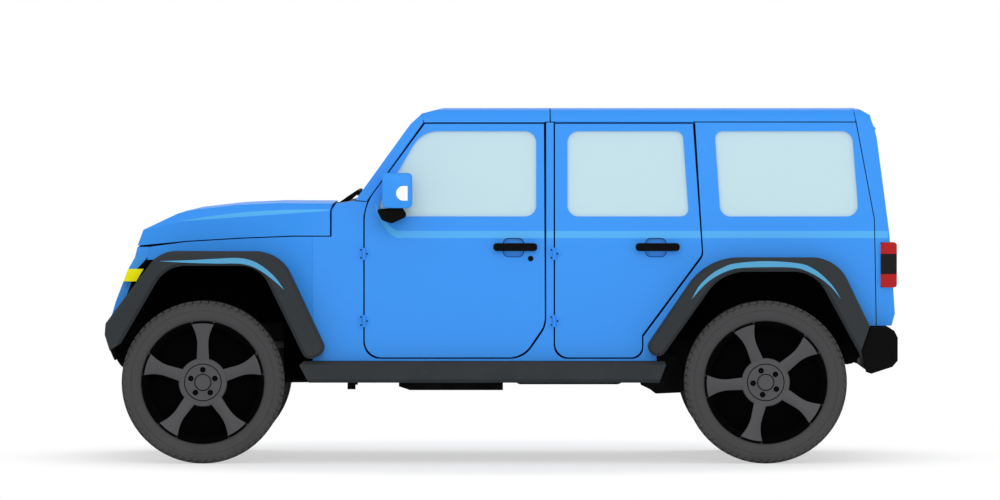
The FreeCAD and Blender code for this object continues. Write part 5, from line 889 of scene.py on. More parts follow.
@dataclass
class Panels(Assembly):
    """Painted and moulded panels with their edges eased, the wipers, the link mounts and the aprons."""

    # How far each node's edges are eased, by finish and slot
    edges: ClassVar[dict[tuple[Finishes, Slot], dict[str, float]]] = {
        (Finishes.PAINT, Slot.PAINT): {
            "body_side_left": 0.0018, "body_side_right": 0.0018, "door_front_left": 0.0018,
            "door_front_right": 0.0018, "door_rear_left": 0.0018, "door_rear_right": 0.0018,
            "hood": 0.008, "front_wings": 0.004, "roof_front": 0.006, "roof_rear": 0.006,
            "windscreen_frame": 0.006, "tail_frame": 0.006, "tailgate": 0.005, "grille_panel": 0.006},
        (Finishes.FLARE, Slot.FLARE): {
            "front_flares": 0.006, "rear_flares": 0.006, "side_rails": 0.008},
        (Finishes.TRIM, Slot.TRIM): {
            "front_bumper": 0.008, "rear_bumper": 0.012, "handle_front_left": 0.004,
            "handle_front_right": 0.004, "handle_rear_left": 0.004, "handle_rear_right": 0.004},
    }
    kept: ClassVar[dict[Finishes, list[str]]] = {
        Finishes.GLASS: ["fixed_glass", "glass_front_left", "glass_front_right", "glass_rear_left",
                         "glass_rear_right", "hatch_glass"],
        Finishes.WELL: ["wheel_liners"],
        Finishes.INNER: ["floor_tub"],
        Finishes.TRIM: ["carrier_panel", "grille_slats"],
        Finishes.MARKER: ["marker_lamps"],
    }
    # The turn of two faces above which an edge is eased, or stays sharp, in degrees, and for the small
    # pieces in radians
    eased_turn: float = 28.0
    sharp_turn: float = 40.0
    slight_turn: float = 0.4
    wiper_arm: Profile = (
        (1.247, 1.392), (1.253, 1.3835), (1.264, 1.381), (1.30, 1.4), (1.357, 1.447), (1.3555, 1.4545),
        (1.342, 1.458), (1.29, 1.424))
    arm_half: float = 0.012
    arm_edge: float = 0.003
    blade_inner: float = 0.1
    blade_x: Point = (1.338, 1.3555)
    blade_z: Point = (1.438, 1.4565)
    blade_edge: float = 0.004
    rubber_x: Point = (1.3425, 1.3505)
    rubber_z: Point = (1.428, 1.44)
    rubber_edge: float = 0.002
    rubber_inset: float = 0.01
    link_mount: Profile = (
        (2.84, 0.48), (2.862, 0.428), (2.952, 0.358), (3.09, 0.364), (3.106, 0.41), (3.106, 0.47),
        (3.07, 0.56), (2.95, 0.60))
    mount_y: Point = (0.392, 0.44)
    mount_edge: float = 0.006
    apron_y: Point = (0.60, 0.612)
    apron_walls: tuple[tuple[Point, Point], ...] = (
        ((3.03, 3.20), (0.66, 0.78)), ((3.82, 3.97), (0.62, 0.78)))
    apron_edge: float = 0.003

    def ease(self, node: str, width: float, finish: Finishes, slot: Slot) -> None:
        """Replaces a CAD node by its own shape with rounded edges."""
        mesh = eased(flattened(welded(node)), width, math.radians(self.eased_turn))
        bmesh.ops.triangulate(mesh, faces=[face for face in mesh.faces if len(face.verts) > 4])
        piece = as_object(node + "_shell", mesh)
        smooth_by_angle(piece.data, self.sharp_turn)
        weight = piece.modifiers.new("even shading", "WEIGHTED_NORMAL")
        weight.keep_sharp = True
        settle(piece)
        self.hand_over(piece, finish, self.body_of(node), [node], slot, smooth=None)

    def wipers(self) -> None:
        """Two wipers lying on the foot of the windscreen: a bent arm with a rubber blade across its tip."""
        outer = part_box("wipers")[1].y
        blade_y = (self.blade_inner, outer)
        rubber_y = (self.blade_inner + self.rubber_inset, outer - self.rubber_inset)
        parts = []
        for side in Side:
            middle = side.value * (self.blade_inner + outer) / 2
            arm = extruded(placed(self.wiper_arm), middle - self.arm_half, middle + self.arm_half)
            parts += [
                eased(arm, self.arm_edge, self.slight_turn),
                station_box(self.blade_x, blade_y, self.blade_z, self.blade_edge, 3, side.value),
                station_box(self.rubber_x, rubber_y, self.rubber_z, self.rubber_edge, 3, side.value)]
        self.add("wiper_blades", joined(parts), Finishes.TRIM, "body", ["wipers"], Slot.TRIM)

    def link_mounts(self) -> None:
        """The black mass under the sill ahead of the rear wheels: the frame's mounts of the rear links."""
        parts = []
        for side in Side:
            near, far = (side.value * y for y in self.mount_y)
            mount = extruded(placed(self.link_mount), near, far)
            parts.append(eased(mount, self.mount_edge, self.slight_turn))
        self.add("link_mounts", joined(parts), Finishes.CHASSIS, "body", [], Slot.CHASSIS)

    def liner_aprons(self) -> None:
        """Near-black walls under the rear wheel houses, ahead of the wheel and behind it: partly liner,
        partly painted shade of the underside.
        """
        parts = [station_box(x, self.apron_y, z, self.apron_edge, 1, side.value)
                 for side in Side for x, z in self.apron_walls]
        self.add("liner_aprons", joined(parts), Finishes.WELL)

    def build(self) -> None:
        """Eases and dresses the panels."""
        for (finish, slot), widths in self.edges.items():
            for node, width in widths.items():
                self.ease(node, width, finish, slot)
        for finish, nodes in self.kept.items():
            self.dress(nodes, finish)
        self.wipers()
        self.link_mounts()
        self.liner_aprons()


@dataclass
class Tyre:
    """A road tyre: its section, its tread rows and its shoulder bars. Sizes are in metres."""

    radius: float = 0.434
    tread_depth: float = 0.009
    half_width: float = 0.125
    bead_half: float = 0.105
    bead_radius: float = 0.3125
    rim_radius: float = 0.3285
    lip_width: float = 0.006
    lip_rise: float = 0.004
    # The side wall from the rim to the shoulder: how far in from the widest, and the radius
    wall: tuple[Point, ...] = (
        (0.008, 0.342), (0.0035, 0.356), (0.001, 0.372), (0.001, 0.38), (0.003, 0.382), (0.003, 0.386),
        (0.001, 0.388), (0.001, 0.394), (0.006, 0.408), (0.016, 0.419))
    shoulder_inset: float = 0.027
    sides: int = 96
    blocks: int = 64
    # Each row of tread blocks: its two edges and how far its blocks are skewed, in radians for each metre
    rows: tuple[Spot, ...] = (
        (-0.1, -0.064, 1.4), (-0.058, -0.022, -1.4), (-0.016, 0.016, 0.0), (0.022, 0.058, 1.4),
        (0.064, 0.1, -1.4))
    gap_share: float = 0.24
    block_sink: float = 0.004
    block_top_share: float = 0.9
    block_inset: float = 0.002
    # Each end of a shoulder bar: its radius, how far in from the widest it lies and how deep it sinks
    bar_ends: tuple[Spot, ...] = ((0.392, 0.001, 0.006), (0.421, 0.011, 0.008))
    bar_share: float = 0.3

    def section(self) -> list[Point]:
        """The carcass section as points of y and radius."""
        half = [(self.bead_half, self.bead_radius), (self.bead_half, self.rim_radius),
                (self.bead_half + self.lip_width, self.rim_radius + self.lip_rise)]
        half += [(self.half_width - inset, radius) for inset, radius in self.wall]
        half.append((self.half_width - self.shoulder_inset, self.radius - self.tread_depth))
        return half + [(-y, radius) for y, radius in reversed(half)]

    def block(self, low_y: float, high_y: float, skew: float) -> Mesh:
        """One tread block of a row, standing on the carcass at the bottom of the tyre."""
        half = math.tau / self.blocks * (1 - self.gap_share) / 2
        rings = []
        for radius, share, inset in ((self.radius - self.tread_depth - self.block_sink, 1.0, 0.0),
                                     (self.radius, self.block_top_share, self.block_inset)):
            ring = []
            for y, edge, turn in ((low_y, low_y + inset, -1), (high_y, high_y - inset, -1),
                                  (high_y, high_y - inset, 1), (low_y, low_y + inset, 1)):
                angle = turn * half * share + skew * (y - (low_y + high_y) / 2)
                ring.append((radius * math.sin(angle), edge, -radius * math.cos(angle)))
            rings.append(ring)
        return lofted(rings)

    def shoulder_bar(self, side: int) -> Mesh:
        """One raised bar on the tyre's shoulder."""
        half = math.tau / self.blocks * self.bar_share
        rings = []
        for radius, inset, sink in self.bar_ends:
            rings.append([(radius * math.sin(turn * half), side * (self.half_width - inset - depth),
                           -radius * math.cos(turn * half))
                          for depth, turn in ((sink, -1), (sink, 1), (0.0, 1), (0.0, -1))])
        return lofted(rings)

    def pattern(self) -> Mesh:
        """One pitch of the tread with its shoulder bars."""
        half_pitch = math.tau / self.blocks / 2
        made = [turned(self.block(*row), Matrix.Rotation(half_pitch * (number % 2), 4, "Y"))
                for number, row in enumerate(self.rows)]
        return joined(made + [self.shoulder_bar(side) for side in (-1, 1)])


@dataclass
class Rim:
    """A five-spoke wheel with its hub, nuts and a near-black inside that is painted shade. Profiles are
    points of y and radius.
    """

    band_profile: tuple[Point, ...] = (
        (-0.1145, 0.3235), (-0.1115, 0.3275), (-0.104, 0.3275), (-0.104, 0.311), (0.104, 0.311),
        (0.104, 0.3275), (0.1115, 0.3275), (0.1145, 0.3235), (0.1145, 0.304), (-0.06, 0.292),
        (-0.096, 0.3), (-0.1, 0.306), (-0.1145, 0.316))
    hub_profile: tuple[Point, ...] = (
        (-0.1005, 0.0), (-0.1005, 0.038), (-0.098, 0.041), (-0.092, 0.042), (-0.092, 0.125),
        (-0.088, 0.129), (-0.04, 0.129), (-0.04, 0.0))
    dish_profile: tuple[Point, ...] = ((-0.056, 0.123), (-0.052, 0.123), (-0.03, 0.293), (-0.034, 0.293))
    nut_well_profile: tuple[Point, ...] = ((-0.0932, 0.0), (-0.0932, 0.015), (-0.09, 0.015), (-0.09, 0.0))
    nut_profile: tuple[Point, ...] = (
        (-0.099, 0.0), (-0.099, 0.006), (-0.097, 0.0085), (-0.092, 0.0085), (-0.092, 0.0))
    nut_well_sides: int = 20
    nut_sides: int = 6
    # The dark rings on the hub, round the nuts and round the cap: radius and half width
    ring_sizes: tuple[Point, ...] = ((0.098, 0.0024), (0.044, 0.002))
    ring_rise: float = 0.0006
    ring_sink: float = 0.003
    hub_radius: float = 0.129
    hub_face: float = 0.092
    lug_circle: float = 0.0674
    sides: int = 96
    spokes: int = 5
    spoke_deep: float = 0.032
    spoke_sink: float = 0.012
    spoke_end: float = 0.3215
    spoke_out: float = 0.1148
    spoke_steps: int = 14
    spoke_edge: float = 0.003
    spoke_turn: float = 0.7
    # Half the spoke's width at its root, waist and end, and where the waist and the flare start
    root_half: float = 0.033
    waist_half: float = 0.0295
    end_half: float = 0.0665
    waist_share: float = 0.35
    flare_share: float = 0.4
    flare_power: float = 1.9

    def reach(self, radius: float) -> float:
        """How far along the spoke a radius lies, from 0 at the hub to 1 at the band."""
        return progress(radius, self.hub_radius, self.spoke_end)

    def spoke_half(self, radius: float) -> float:
        """Half a spoke's width at a radius: narrow in the middle, and flared to the band."""
        share = self.reach(radius)
        waist = self.root_half + (self.waist_half - self.root_half) * min(share / self.waist_share, 1.0)
        flare = max(share - self.flare_share, 0.0) / (1 - self.flare_share)
        return waist + (self.end_half - self.waist_half) * flare ** self.flare_power

    def spoke(self) -> Mesh:
        """The spoke that stands straight up, with eased edges, rising from the hub to the band."""
        start = self.hub_radius - self.spoke_sink
        radii = [start + step * (self.spoke_end - start) / self.spoke_steps
                 for step in range(self.spoke_steps + 1)]
        right = [(self.spoke_half(radius), radius) for radius in radii]
        left = [(-width, radius) for width, radius in reversed(right)]
        mesh = extruded(right + left, -self.hub_face, -self.hub_face + self.spoke_deep)
        for vert in mesh.verts:
            vert.co.y -= self.reach(vert.co.z) * (self.spoke_out - self.hub_face)
        return eased(mesh, self.spoke_edge, self.spoke_turn)

    def rings(self) -> Mesh:
        """Dark rings on the hub: one round the nuts and one round the cap."""
        out, back = -self.hub_face - self.ring_rise, -self.hub_face + self.ring_sink
        return joined([spun([(out, radius - half), (out, radius + half), (back, radius + half),
                             (back, radius - half)], self.sides) for radius, half in self.ring_sizes])

    def at_lug(self, profile: Profile, sides: int) -> Mesh:
        """A lathe shape on the lug circle, in line with the upright spoke."""
        return turned(spun(profile, sides, closed=False), Matrix.Translation((0, 0, self.lug_circle)))


@dataclass
class RoadWheels(Assembly):
    """Four tyres on five-spoke wheels, in place of the plain solids."""

    # How far each axle's wheels are turned, in degrees
    turns: ClassVar[dict[str, float]] = {"front": 0.0, "rear": 21.7}
    track_half: float = 0.79

    def place(self, node: str, side: Side, turn: float) -> Matrix:
        """Where a wheel piece goes: turned, mirrored on the right, and moved to the axle."""
        low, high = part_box(node)
        centre = (low + high) / 2
        centre.y = math.copysign(self.track_half, side.value)
        spin = Matrix.Rotation(-math.radians(turn), 4, "Y")
        mirror = Matrix.Scale(-1, 4, (0, 1, 0)) if side is Side.RIGHT else Matrix.Identity(4)
        return Matrix.Translation(centre) @ mirror @ spin

    def repeated(self, name: str, mesh: Mesh, count: int, finish: Finishes) -> Piece:
        """A piece repeated round the axle."""
        return self.copies.run(as_object(name, mesh), self.copies.round, {
            "Count": count, "Start": 0.0, "Finish": self.palette[finish]})

    def tyre(self, position: str, side: Side, turn: float) -> None:
        """Builds one tyre in place of its plain ring."""
        shape = Tyre()
        node = "tyre_%s_%s" % (position, side.word)
        blocks = self.repeated(node + "_tread", shape.pattern(), shape.blocks, Finishes.TYRE)
        mesh = turned(taken(blocks, spun(shape.section(), shape.sides)), self.place(node, side, turn))
        self.add(node + "_rubber", mesh, Finishes.TYRE, self.body_of(node), [node], Slot.TYRE)

    def rim(self, position: str, side: Side, turn: float) -> None:
        """Builds one wheel in place of its plain solid."""
        shape = Rim()
        node = "wheel_%s_%s" % (position, side.word)
        nut_well = shape.at_lug(shape.nut_well_profile, shape.nut_well_sides)
        nut = shape.at_lug(shape.nut_profile, shape.nut_sides)
        band, dish = (spun(profile, shape.sides) for profile in (shape.band_profile, shape.dish_profile))
        hub = spun(shape.hub_profile, shape.sides, closed=False)
        # The band, the nut wells and the dish take the near-black finish: painted shade in the wheel's
        # hollows
        for name, mesh, finish, many, replaced, slot in (
                ("_spokes", shape.spoke(), Finishes.ALLOY, True, [], Slot.ALLOY),
                ("_hub", hub, Finishes.ALLOY, False, [], Slot.ALLOY),
                ("_band", band, Finishes.WELL, False, [node], Slot.ALLOY),
                ("_rings", shape.rings(), Finishes.SEAL, False, [], None),
                ("_nut_wells", nut_well, Finishes.WELL, True, [], None),
                ("_nuts", nut, Finishes.TRIM, True, [], None),
                ("_dish", dish, Finishes.WELL, False, [], None)):
            if many:
                mesh = taken(self.repeated(node + name, mesh, shape.spokes, finish))
            mesh = turned(mesh, self.place(node, side, turn))
            self.add(node + name, mesh, finish, self.body_of(node), replaced, slot)

    def build(self) -> None:
        """Builds all four wheels."""
        for position, turn in self.turns.items():
            for side in Side:
                self.tyre(position, side, turn)
                self.rim(position, side, turn)


@dataclass
class FlareReflections(Assembly):
    """Painted reflections: pale blue crescents on the flares' outer faces that stand for the sky's
    reflection.
    """

    plate: float = 0.0025
    sink: float = 0.004
    # Each crescent's outer and inner edge in stations and heights, from the front tip to the rear one
    crescents: ClassVar[dict[str, tuple[Profile, Profile]]] = {
        "front": ([(0.286, 1.083), (0.45, 1.088), (0.60, 1.096), (0.717, 1.1), (0.80, 1.081), (0.87, 1.036),
                   (0.92, 0.987), (0.961, 0.929)],
                  [(0.286, 1.083), (0.45, 1.074), (0.60, 1.07), (0.725, 1.069), (0.80, 1.05), (0.86, 1.014),
                   (0.911, 0.974), (0.961, 0.929)]),
        "rear": ([(3.135, 0.880), (3.178, 0.955), (3.245, 1.017), (3.30, 1.048), (3.368, 1.071),
                  (3.532, 1.083), (3.706, 1.071), (3.78, 1.045), (3.839, 1.001), (3.89, 0.947),
                  (3.932, 0.880)],
                 [(3.135, 0.880), (3.20, 0.953), (3.262, 1.0), (3.33, 1.032), (3.40, 1.047),
                  (3.553, 1.051), (3.68, 1.048), (3.745, 1.031), (3.819, 0.993), (3.88, 0.943),
                  (3.932, 0.880)]),
    }

    def build(self) -> None:
        """Lays one painted reflection crescent on each flare."""
        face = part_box("front_flares")[1].y
        for name, (outer, inner) in self.crescents.items():
            outline = placed(curved(outer) + list(reversed(curved(inner)))[1:-1])
            for side in Side:
                mesh = extruded(outline, side.value * (face - self.sink), side.value * (face + self.plate))
                self.add("%s_inlay_%s" % (name, side.word), mesh, Finishes.GLINT)


@dataclass
class Seals(Assembly):
    """Rubber in the shut lines and seams, painted shade rings round the handle cups, the wings' corners and
    hinge bolts.
    """

    # Each door's shut line as station, height and corner radius
    doors: ClassVar[dict[str, list[Spot]]] = {
        "front": [(1.384, 0.561, 0.086), (2.236, 0.561, 0.136), (2.356, 0.735, 0.136), (2.354, 1.819, 0.0),
                  (1.706, 1.819, 0.0), (1.384, 1.379, 0.251)],
        "rear": [(2.403, 0.561, 0.071), (2.876, 0.561, 0.056), (2.876, 0.68, 0.0), (3.197, 1.112, 0.056),
                 (3.152, 1.819, 0.0), (2.403, 1.819, 0.0)],
    }
    side_seams: tuple[Profile, ...] = (
        [(2.352, 1.8245), (2.407, 1.8245)],
        [(3.15, 1.8245), (4.020, 1.8245)],
        [(4.007, 1.893), (4.020, 1.823), (4.116, 1.305), (4.126, 0.735)],
        [(1.336, 1.404), (1.394, 1.399)],
        [(1.695, 1.871), (1.702, 1.823)],
    )
    cup: tuple[Spot, ...] = (
        (2.129, 1.103, 0.028), (2.239, 1.103, 0.028), (2.239, 1.203, 0.028), (2.129, 1.203, 0.028))
    cup_shifts: ClassVar[dict[str, float]] = {"front": 0.0, "rear": 0.762}
    seam_width: float = 0.0045
    cup_rim_width: float = 0.003
    ribbon_rise: float = 0.0007
    ribbon_sink: float = 0.003
    ribbon_reach: float = 0.02
    # A door seal's section: how far out of the shut line it reaches each way, and how thick it is
    seal_outer: float = 0.014
    seal_inner: float = 0.012
    seal_thick: float = 0.004
    seal_reach: float = 0.08
    # The body side: half widths of its outer and inner face, the belt's step, the lean and the roof's edge
    body_half: float = 0.8
    belt_step: float = 0.008
    body_lean: float = 0.05
    roof_edge_z: float = 1.8385
    roof_radius: float = 0.055
    roof_reach: float = 0.0549
    roof_inset: float = 0.002
    wall_half: float = 0.7395
    wall_lean: float = 0.043
    hood_seam: Profile = ((0.172, 1.156), (0.43, 1.181), (0.72, 1.199), (1.009, 1.211), (1.205, 1.211))
    hood_reach: float = 0.05
    hood_x: Point = (0.165, 1.11)
    hood_half: float = 0.64
    hood_widening: float = 0.158
    # The hood seal's section: how far in from the wing's edge, and how far above the shut line
    hood_rim: Profile = ((0.034, 0.0045), (0.034, -0.03), (0.039, -0.03), (0.039, 0.0045))
    roof_split_x: float = 2.38
    roof_heights: tuple[float, ...] = (1.8235, 1.8385, 1.86, 1.875, 1.885, 1.891, 1.8934)
    roof_top: Profile = ((0.34, 1.8965), (0.0, 1.8998))
    roof_half: float = 0.74
    roof_seal_half: float = 0.0024
    roof_seal_thick: float = 0.006
    roof_seal_share: float = 0.9994
    roof_seal_drop: float = 0.0006
    corner: Profile = (
        (1.3795, 1.312), (1.3795, 1.4), (1.4, 1.397), (1.3925, 1.372), (1.3865, 1.348), (1.382, 1.326))
    corner_y: Point = (0.774, 0.7915)
    corner_face_y: float = 0.78
    corner_sink: float = 0.0005
    bolt_profile: Profile = ((0.0, 0.0), (0.0, 0.0055), (0.0025, 0.0048), (0.0032, 0.0))
    bolt_sides: int = 6
    hinge_x: ClassVar[dict[str, float]] = {"front": 1.384, "rear": 2.403}
    hinge_z: Point = (0.76, 1.12)
    leaf_y: float = 0.8102
    bolt_x: float = 0.016
    bolt_z: float = 0.021
    # The straight seals under the hood's front edge and before the windscreen: stations, half width,
    # heights, edge radius and its steps
    straight: ClassVar[dict[str, tuple[Point, float, Point, float, int]]] = {
        "nose_seal": ((0.172, 0.2), 0.634, (1.15, 1.1592), 0.001, 1),
        "cowl_seal": ((1.204, 1.2385), 0.475, (1.314, 1.33), 0.005, 3),
    }

    def inner_y(self, height: float) -> float:
        """How far out the body's inner wall face lies at a height."""
        return self.wall_half - self.wall_lean * progress(height, BELT_HIGH, LEAN_TOP)

    def outer_y(self, height: float) -> float:
        """How far out the body's outer face lies at a height, up to the roof's rounded edge."""
        side = self.body_half - self.belt_step * progress(height, BELT_LOW, BELT_HIGH)
        side -= self.body_lean * progress(height, BELT_HIGH, LEAN_TOP)
        if height <= self.roof_edge_z:
            return side
        rise = min(height - self.roof_edge_z, self.roof_reach)
        return side - self.roof_inset - self.roof_radius + math.sqrt(self.roof_radius ** 2 - rise ** 2)

    def swept(self, line: Profile, rim: Sequence[Point], side: Side, face: Callable[[float], float],
              closed: bool = False) -> Mesh:
        """A band along a line on one of the body's faces.

        Args:
            line: Stations and heights.
            rim: The band's section: shifts across the line, and distances out of the face.
            side: The side that it lies on.
            face: Gives how far out the face lies at a height.
            closed: Whether the line is a ring.

        Returns:
            The mesh.
        """
        sections = []
        for (x, z), (step_x, step_z) in zip(line, side_steps(line, closed)):
            section = []
            for shift, out in rim:
                height = z + step_z * shift
                section.append((along(x + step_x * shift), side.value * (face(height) + out), height))
            sections.append(section)
        return lofted(sections, closed)

    def door_seal(self, door: str, side: Side) -> None:
        """A rubber band behind a door's shut line."""
        line = divided(rounded_outline(self.doors[door]), self.seal_reach, closed=True)
        rim = ((self.seal_outer, 0.0), (-self.seal_inner, 0.0), (-self.seal_inner, -self.seal_thick),
               (self.seal_outer, -self.seal_thick))
        mesh = self.swept(line, rim, side, self.inner_y, closed=True)
        self.add("%s_door_seal_%s" % (door, side.word), mesh, Finishes.SEAL)

    def ribbon(self, line: Profile, width: float, side: Side, closed: bool = False) -> Mesh:
        """A thin dark line laid on the body's outer face."""
        rim = ((width / 2, self.ribbon_rise), (-width / 2, self.ribbon_rise),
               (-width / 2, -self.ribbon_sink), (width / 2, -self.ribbon_sink))
        return self.swept(divided(line, self.ribbon_reach, closed), rim, side, self.outer_y, closed)

    def hood_seal(self, side: Side) -> Mesh:
        """A rubber lip on the wing's top, behind the hood's shut line."""
        sections = []
        for x, z in divided(self.hood_seam, self.hood_reach):
            half = self.hood_half + self.hood_widening * progress(x, *self.hood_x)
            sections.append([(along(x), side.value * (half - inset), z + rise)
                             for inset, rise in self.hood_rim])
        return lofted(sections)

    def roof_seal(self) -> Mesh:
        """The rubber in the slot between the front roof panel and the hard top."""
        half = [(self.outer_y(z), z) for z in self.roof_heights] + list(self.roof_top)
        sections = []
        for y, z in [(-y, z) for y, z in half] + list(reversed(half[:-1])):
            top = (y * self.roof_seal_share, z - self.roof_seal_drop)
            low = (y * (1 - self.roof_seal_thick / self.roof_half), z - self.roof_seal_thick)
            sections.append([(along(self.roof_split_x) + turn * self.roof_seal_half, *spot)
                             for turn, spot in ((-1, top), (1, top), (1, low), (-1, low))])
        return lofted(sections)

    def bolts(self, name: str, body: str, spots: Sequence[Spot]) -> None:
        """Bolt heads on hinge leaves, each facing outwards."""
        mesh = bpy.data.meshes.new(name)
        mesh.from_pydata(spots, [], [])
        facing = mesh.attributes.new("facing", "FLOAT_VECTOR", "POINT")
        for item, spot in zip(facing.data, spots):
            item.vector = (0.0, math.copysign(1.0, spot[1]), 0.0)
        piece = in_scene(name, mesh)
        head = spun(self.bolt_profile, self.bolt_sides, closed=False)
        pattern = as_object(name + "_head", turned(head, Matrix.Rotation(math.pi / 2, 4, "X")))
        self.copies.run(piece, self.copies.spots, {
            "Piece": pattern, "Finish": self.palette[Finishes.TRIM]})
        bpy.data.objects.remove(pattern)
        self.hand_over(piece, Finishes.TRIM, body)

    def wing_corner(self, side: Side) -> None:
        """The wing's painted corner that fills up to the curved front edge of the door."""
        mesh = extruded(placed(self.corner), *(side.value * y for y in self.corner_y))
        for vert in mesh.verts:
            if abs(vert.co.y) > self.corner_face_y:
                vert.co.y = side.value * (self.outer_y(vert.co.z) - self.corner_sink)
        self.add("wing_corner_" + side.word, mesh, Finishes.PAINT, "body", [], Slot.PAINT)

    def hinge_bolts(self, side: Side) -> None:
        """Bolt heads on every hinge leaf of a side: two on the body's leaf and one on the door's."""
        y = side.value * self.leaf_y
        for door, station in self.hinge_x.items():
            names = (door, side.word)
            fixed = [(along(station - self.bolt_x), y, base + rise)
                     for base in self.hinge_z for rise in (-self.bolt_z, self.bolt_z)]
            moved = [(along(station + self.bolt_x), y, base) for base in self.hinge_z]
            self.bolts("hinge_bolts_%s_%s" % names, "body", fixed)
            self.bolts("door_bolts_%s_%s" % names, "door_%s_%s" % names, moved)

    def build(self) -> None:
        """Builds the seals, seams, painted shade rings round the handle cups, wing corners and hinge bolts of
        both sides.
        """
        for side in Side:
            self.wing_corner(side)
            self.hinge_bolts(side)
            for door in self.doors:
                self.door_seal(door, side)
            seams = joined([self.ribbon(line, self.seam_width, side) for line in self.side_seams])
            self.add("seams_" + side.word, seams, Finishes.SEAL)
            self.add("hood_seal_" + side.word, self.hood_seal(side), Finishes.SEAL)
            # Painted shade: a dark ring round each handle cup stands for the shade at the cup's edge
            for door, shift in self.cup_shifts.items():
                outline = rounded_outline([(x + shift, z, radius) for x, z, radius in self.cup])
                rim = self.ribbon(outline, self.cup_rim_width, side, closed=True)
                names = (door, side.word)
                self.add("cup_rim_%s_%s" % names, rim, Finishes.SEAL, "door_%s_%s" % names)
        for name, (x, half, z, radius, steps) in self.straight.items():
            self.add(name, station_box(x, (-half, half), z, radius, steps), Finishes.SEAL)
        self.add("roof_seal", self.roof_seal(), Finishes.SEAL)


@dataclass
class Lamps(Assembly):
    """Headlamps with bowl, ring, bulb shield and lens, and the tail lamps' finish."""

    sides: int = 48
    # Where the lamp's middle meets the nose face, and how far the face leans back for each metre of height
    station: float = 0.1
    height: float = 0.985
    lean: float = 0.44
    lamp_y: float = 0.478
    # Each part's finish, whether its section is closed, and its section as depth and radius
    parts: ClassVar[dict[str, tuple[Finishes, bool, Profile]]] = {
        "bowl": (Finishes.LAMP, False, [
            (0.004, 0.094), (0.02, 0.088), (0.034, 0.068), (0.04, 0.03), (0.04, 0.0), (0.044, 0.0),
            (0.044, 0.034), (0.038, 0.073), (0.024, 0.094), (0.004, 0.097)]),
        "ring": (Finishes.TRIM, True, [
            (-0.002, 0.09), (-0.004, 0.0935), (-0.002, 0.097), (0.02, 0.097), (0.02, 0.09)]),
        "shield": (Finishes.STEEL, False, [
            (0.01, 0.0), (0.01, 0.016), (0.014, 0.021), (0.036, 0.023), (0.036, 0.0)]),
        "lens": (Finishes.CLEAR, False, [
            (-0.004, 0.0), (-0.0025, 0.04), (0.001, 0.075), (0.006, 0.092), (0.009, 0.092),
            (0.004, 0.075), (0.0005, 0.04), (-0.001, 0.0)]),
    }

    def sheared(self, mesh: Mesh, y: float) -> Mesh:
        """Turns a lathe shape to face forwards and leans it with the nose."""
        for vert in mesh.verts:
            depth, across, up = vert.co.y, vert.co.x, vert.co.z
            vert.co = (along(self.station) + depth + up * self.lean, y + across, self.height + up)
        bmesh.ops.recalc_face_normals(mesh, faces=mesh.faces)
        return mesh

    def headlamp(self, side: Side) -> list[Piece]:
        """One headlamp's parts."""
        made = []
        for name, (finish, closed, profile) in self.parts.items():
            mesh = self.sheared(spun(profile, self.sides, closed), side.value * self.lamp_y)
            made.append(self.add("headlamp_%s_%s" % (name, side.word), mesh, finish, "body", [], Slot.LAMP))
        return made

    def build(self) -> None:
        """Builds both headlamps and dresses the tail lamps."""
        made = [piece for side in Side for piece in self.headlamp(side)]
        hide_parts("headlamps")
        self.dress(["tail_lamps"], Finishes.TAIL)


@dataclass
class Pad:
    """One padded piece of a seat, before it swells: its corners, lean in degrees, edge radius and seams."""

    name: str
    low: Spot
    high: Spot
    lean: float
    radius: float
    seams_x: tuple[float, ...] = ()
    seams_y: tuple[float, ...] = ()

    def corner(self, spot: Spot) -> Spot:
        """One of its corners in the frame's own place."""
        return along(spot[0]), spot[1], spot[2]


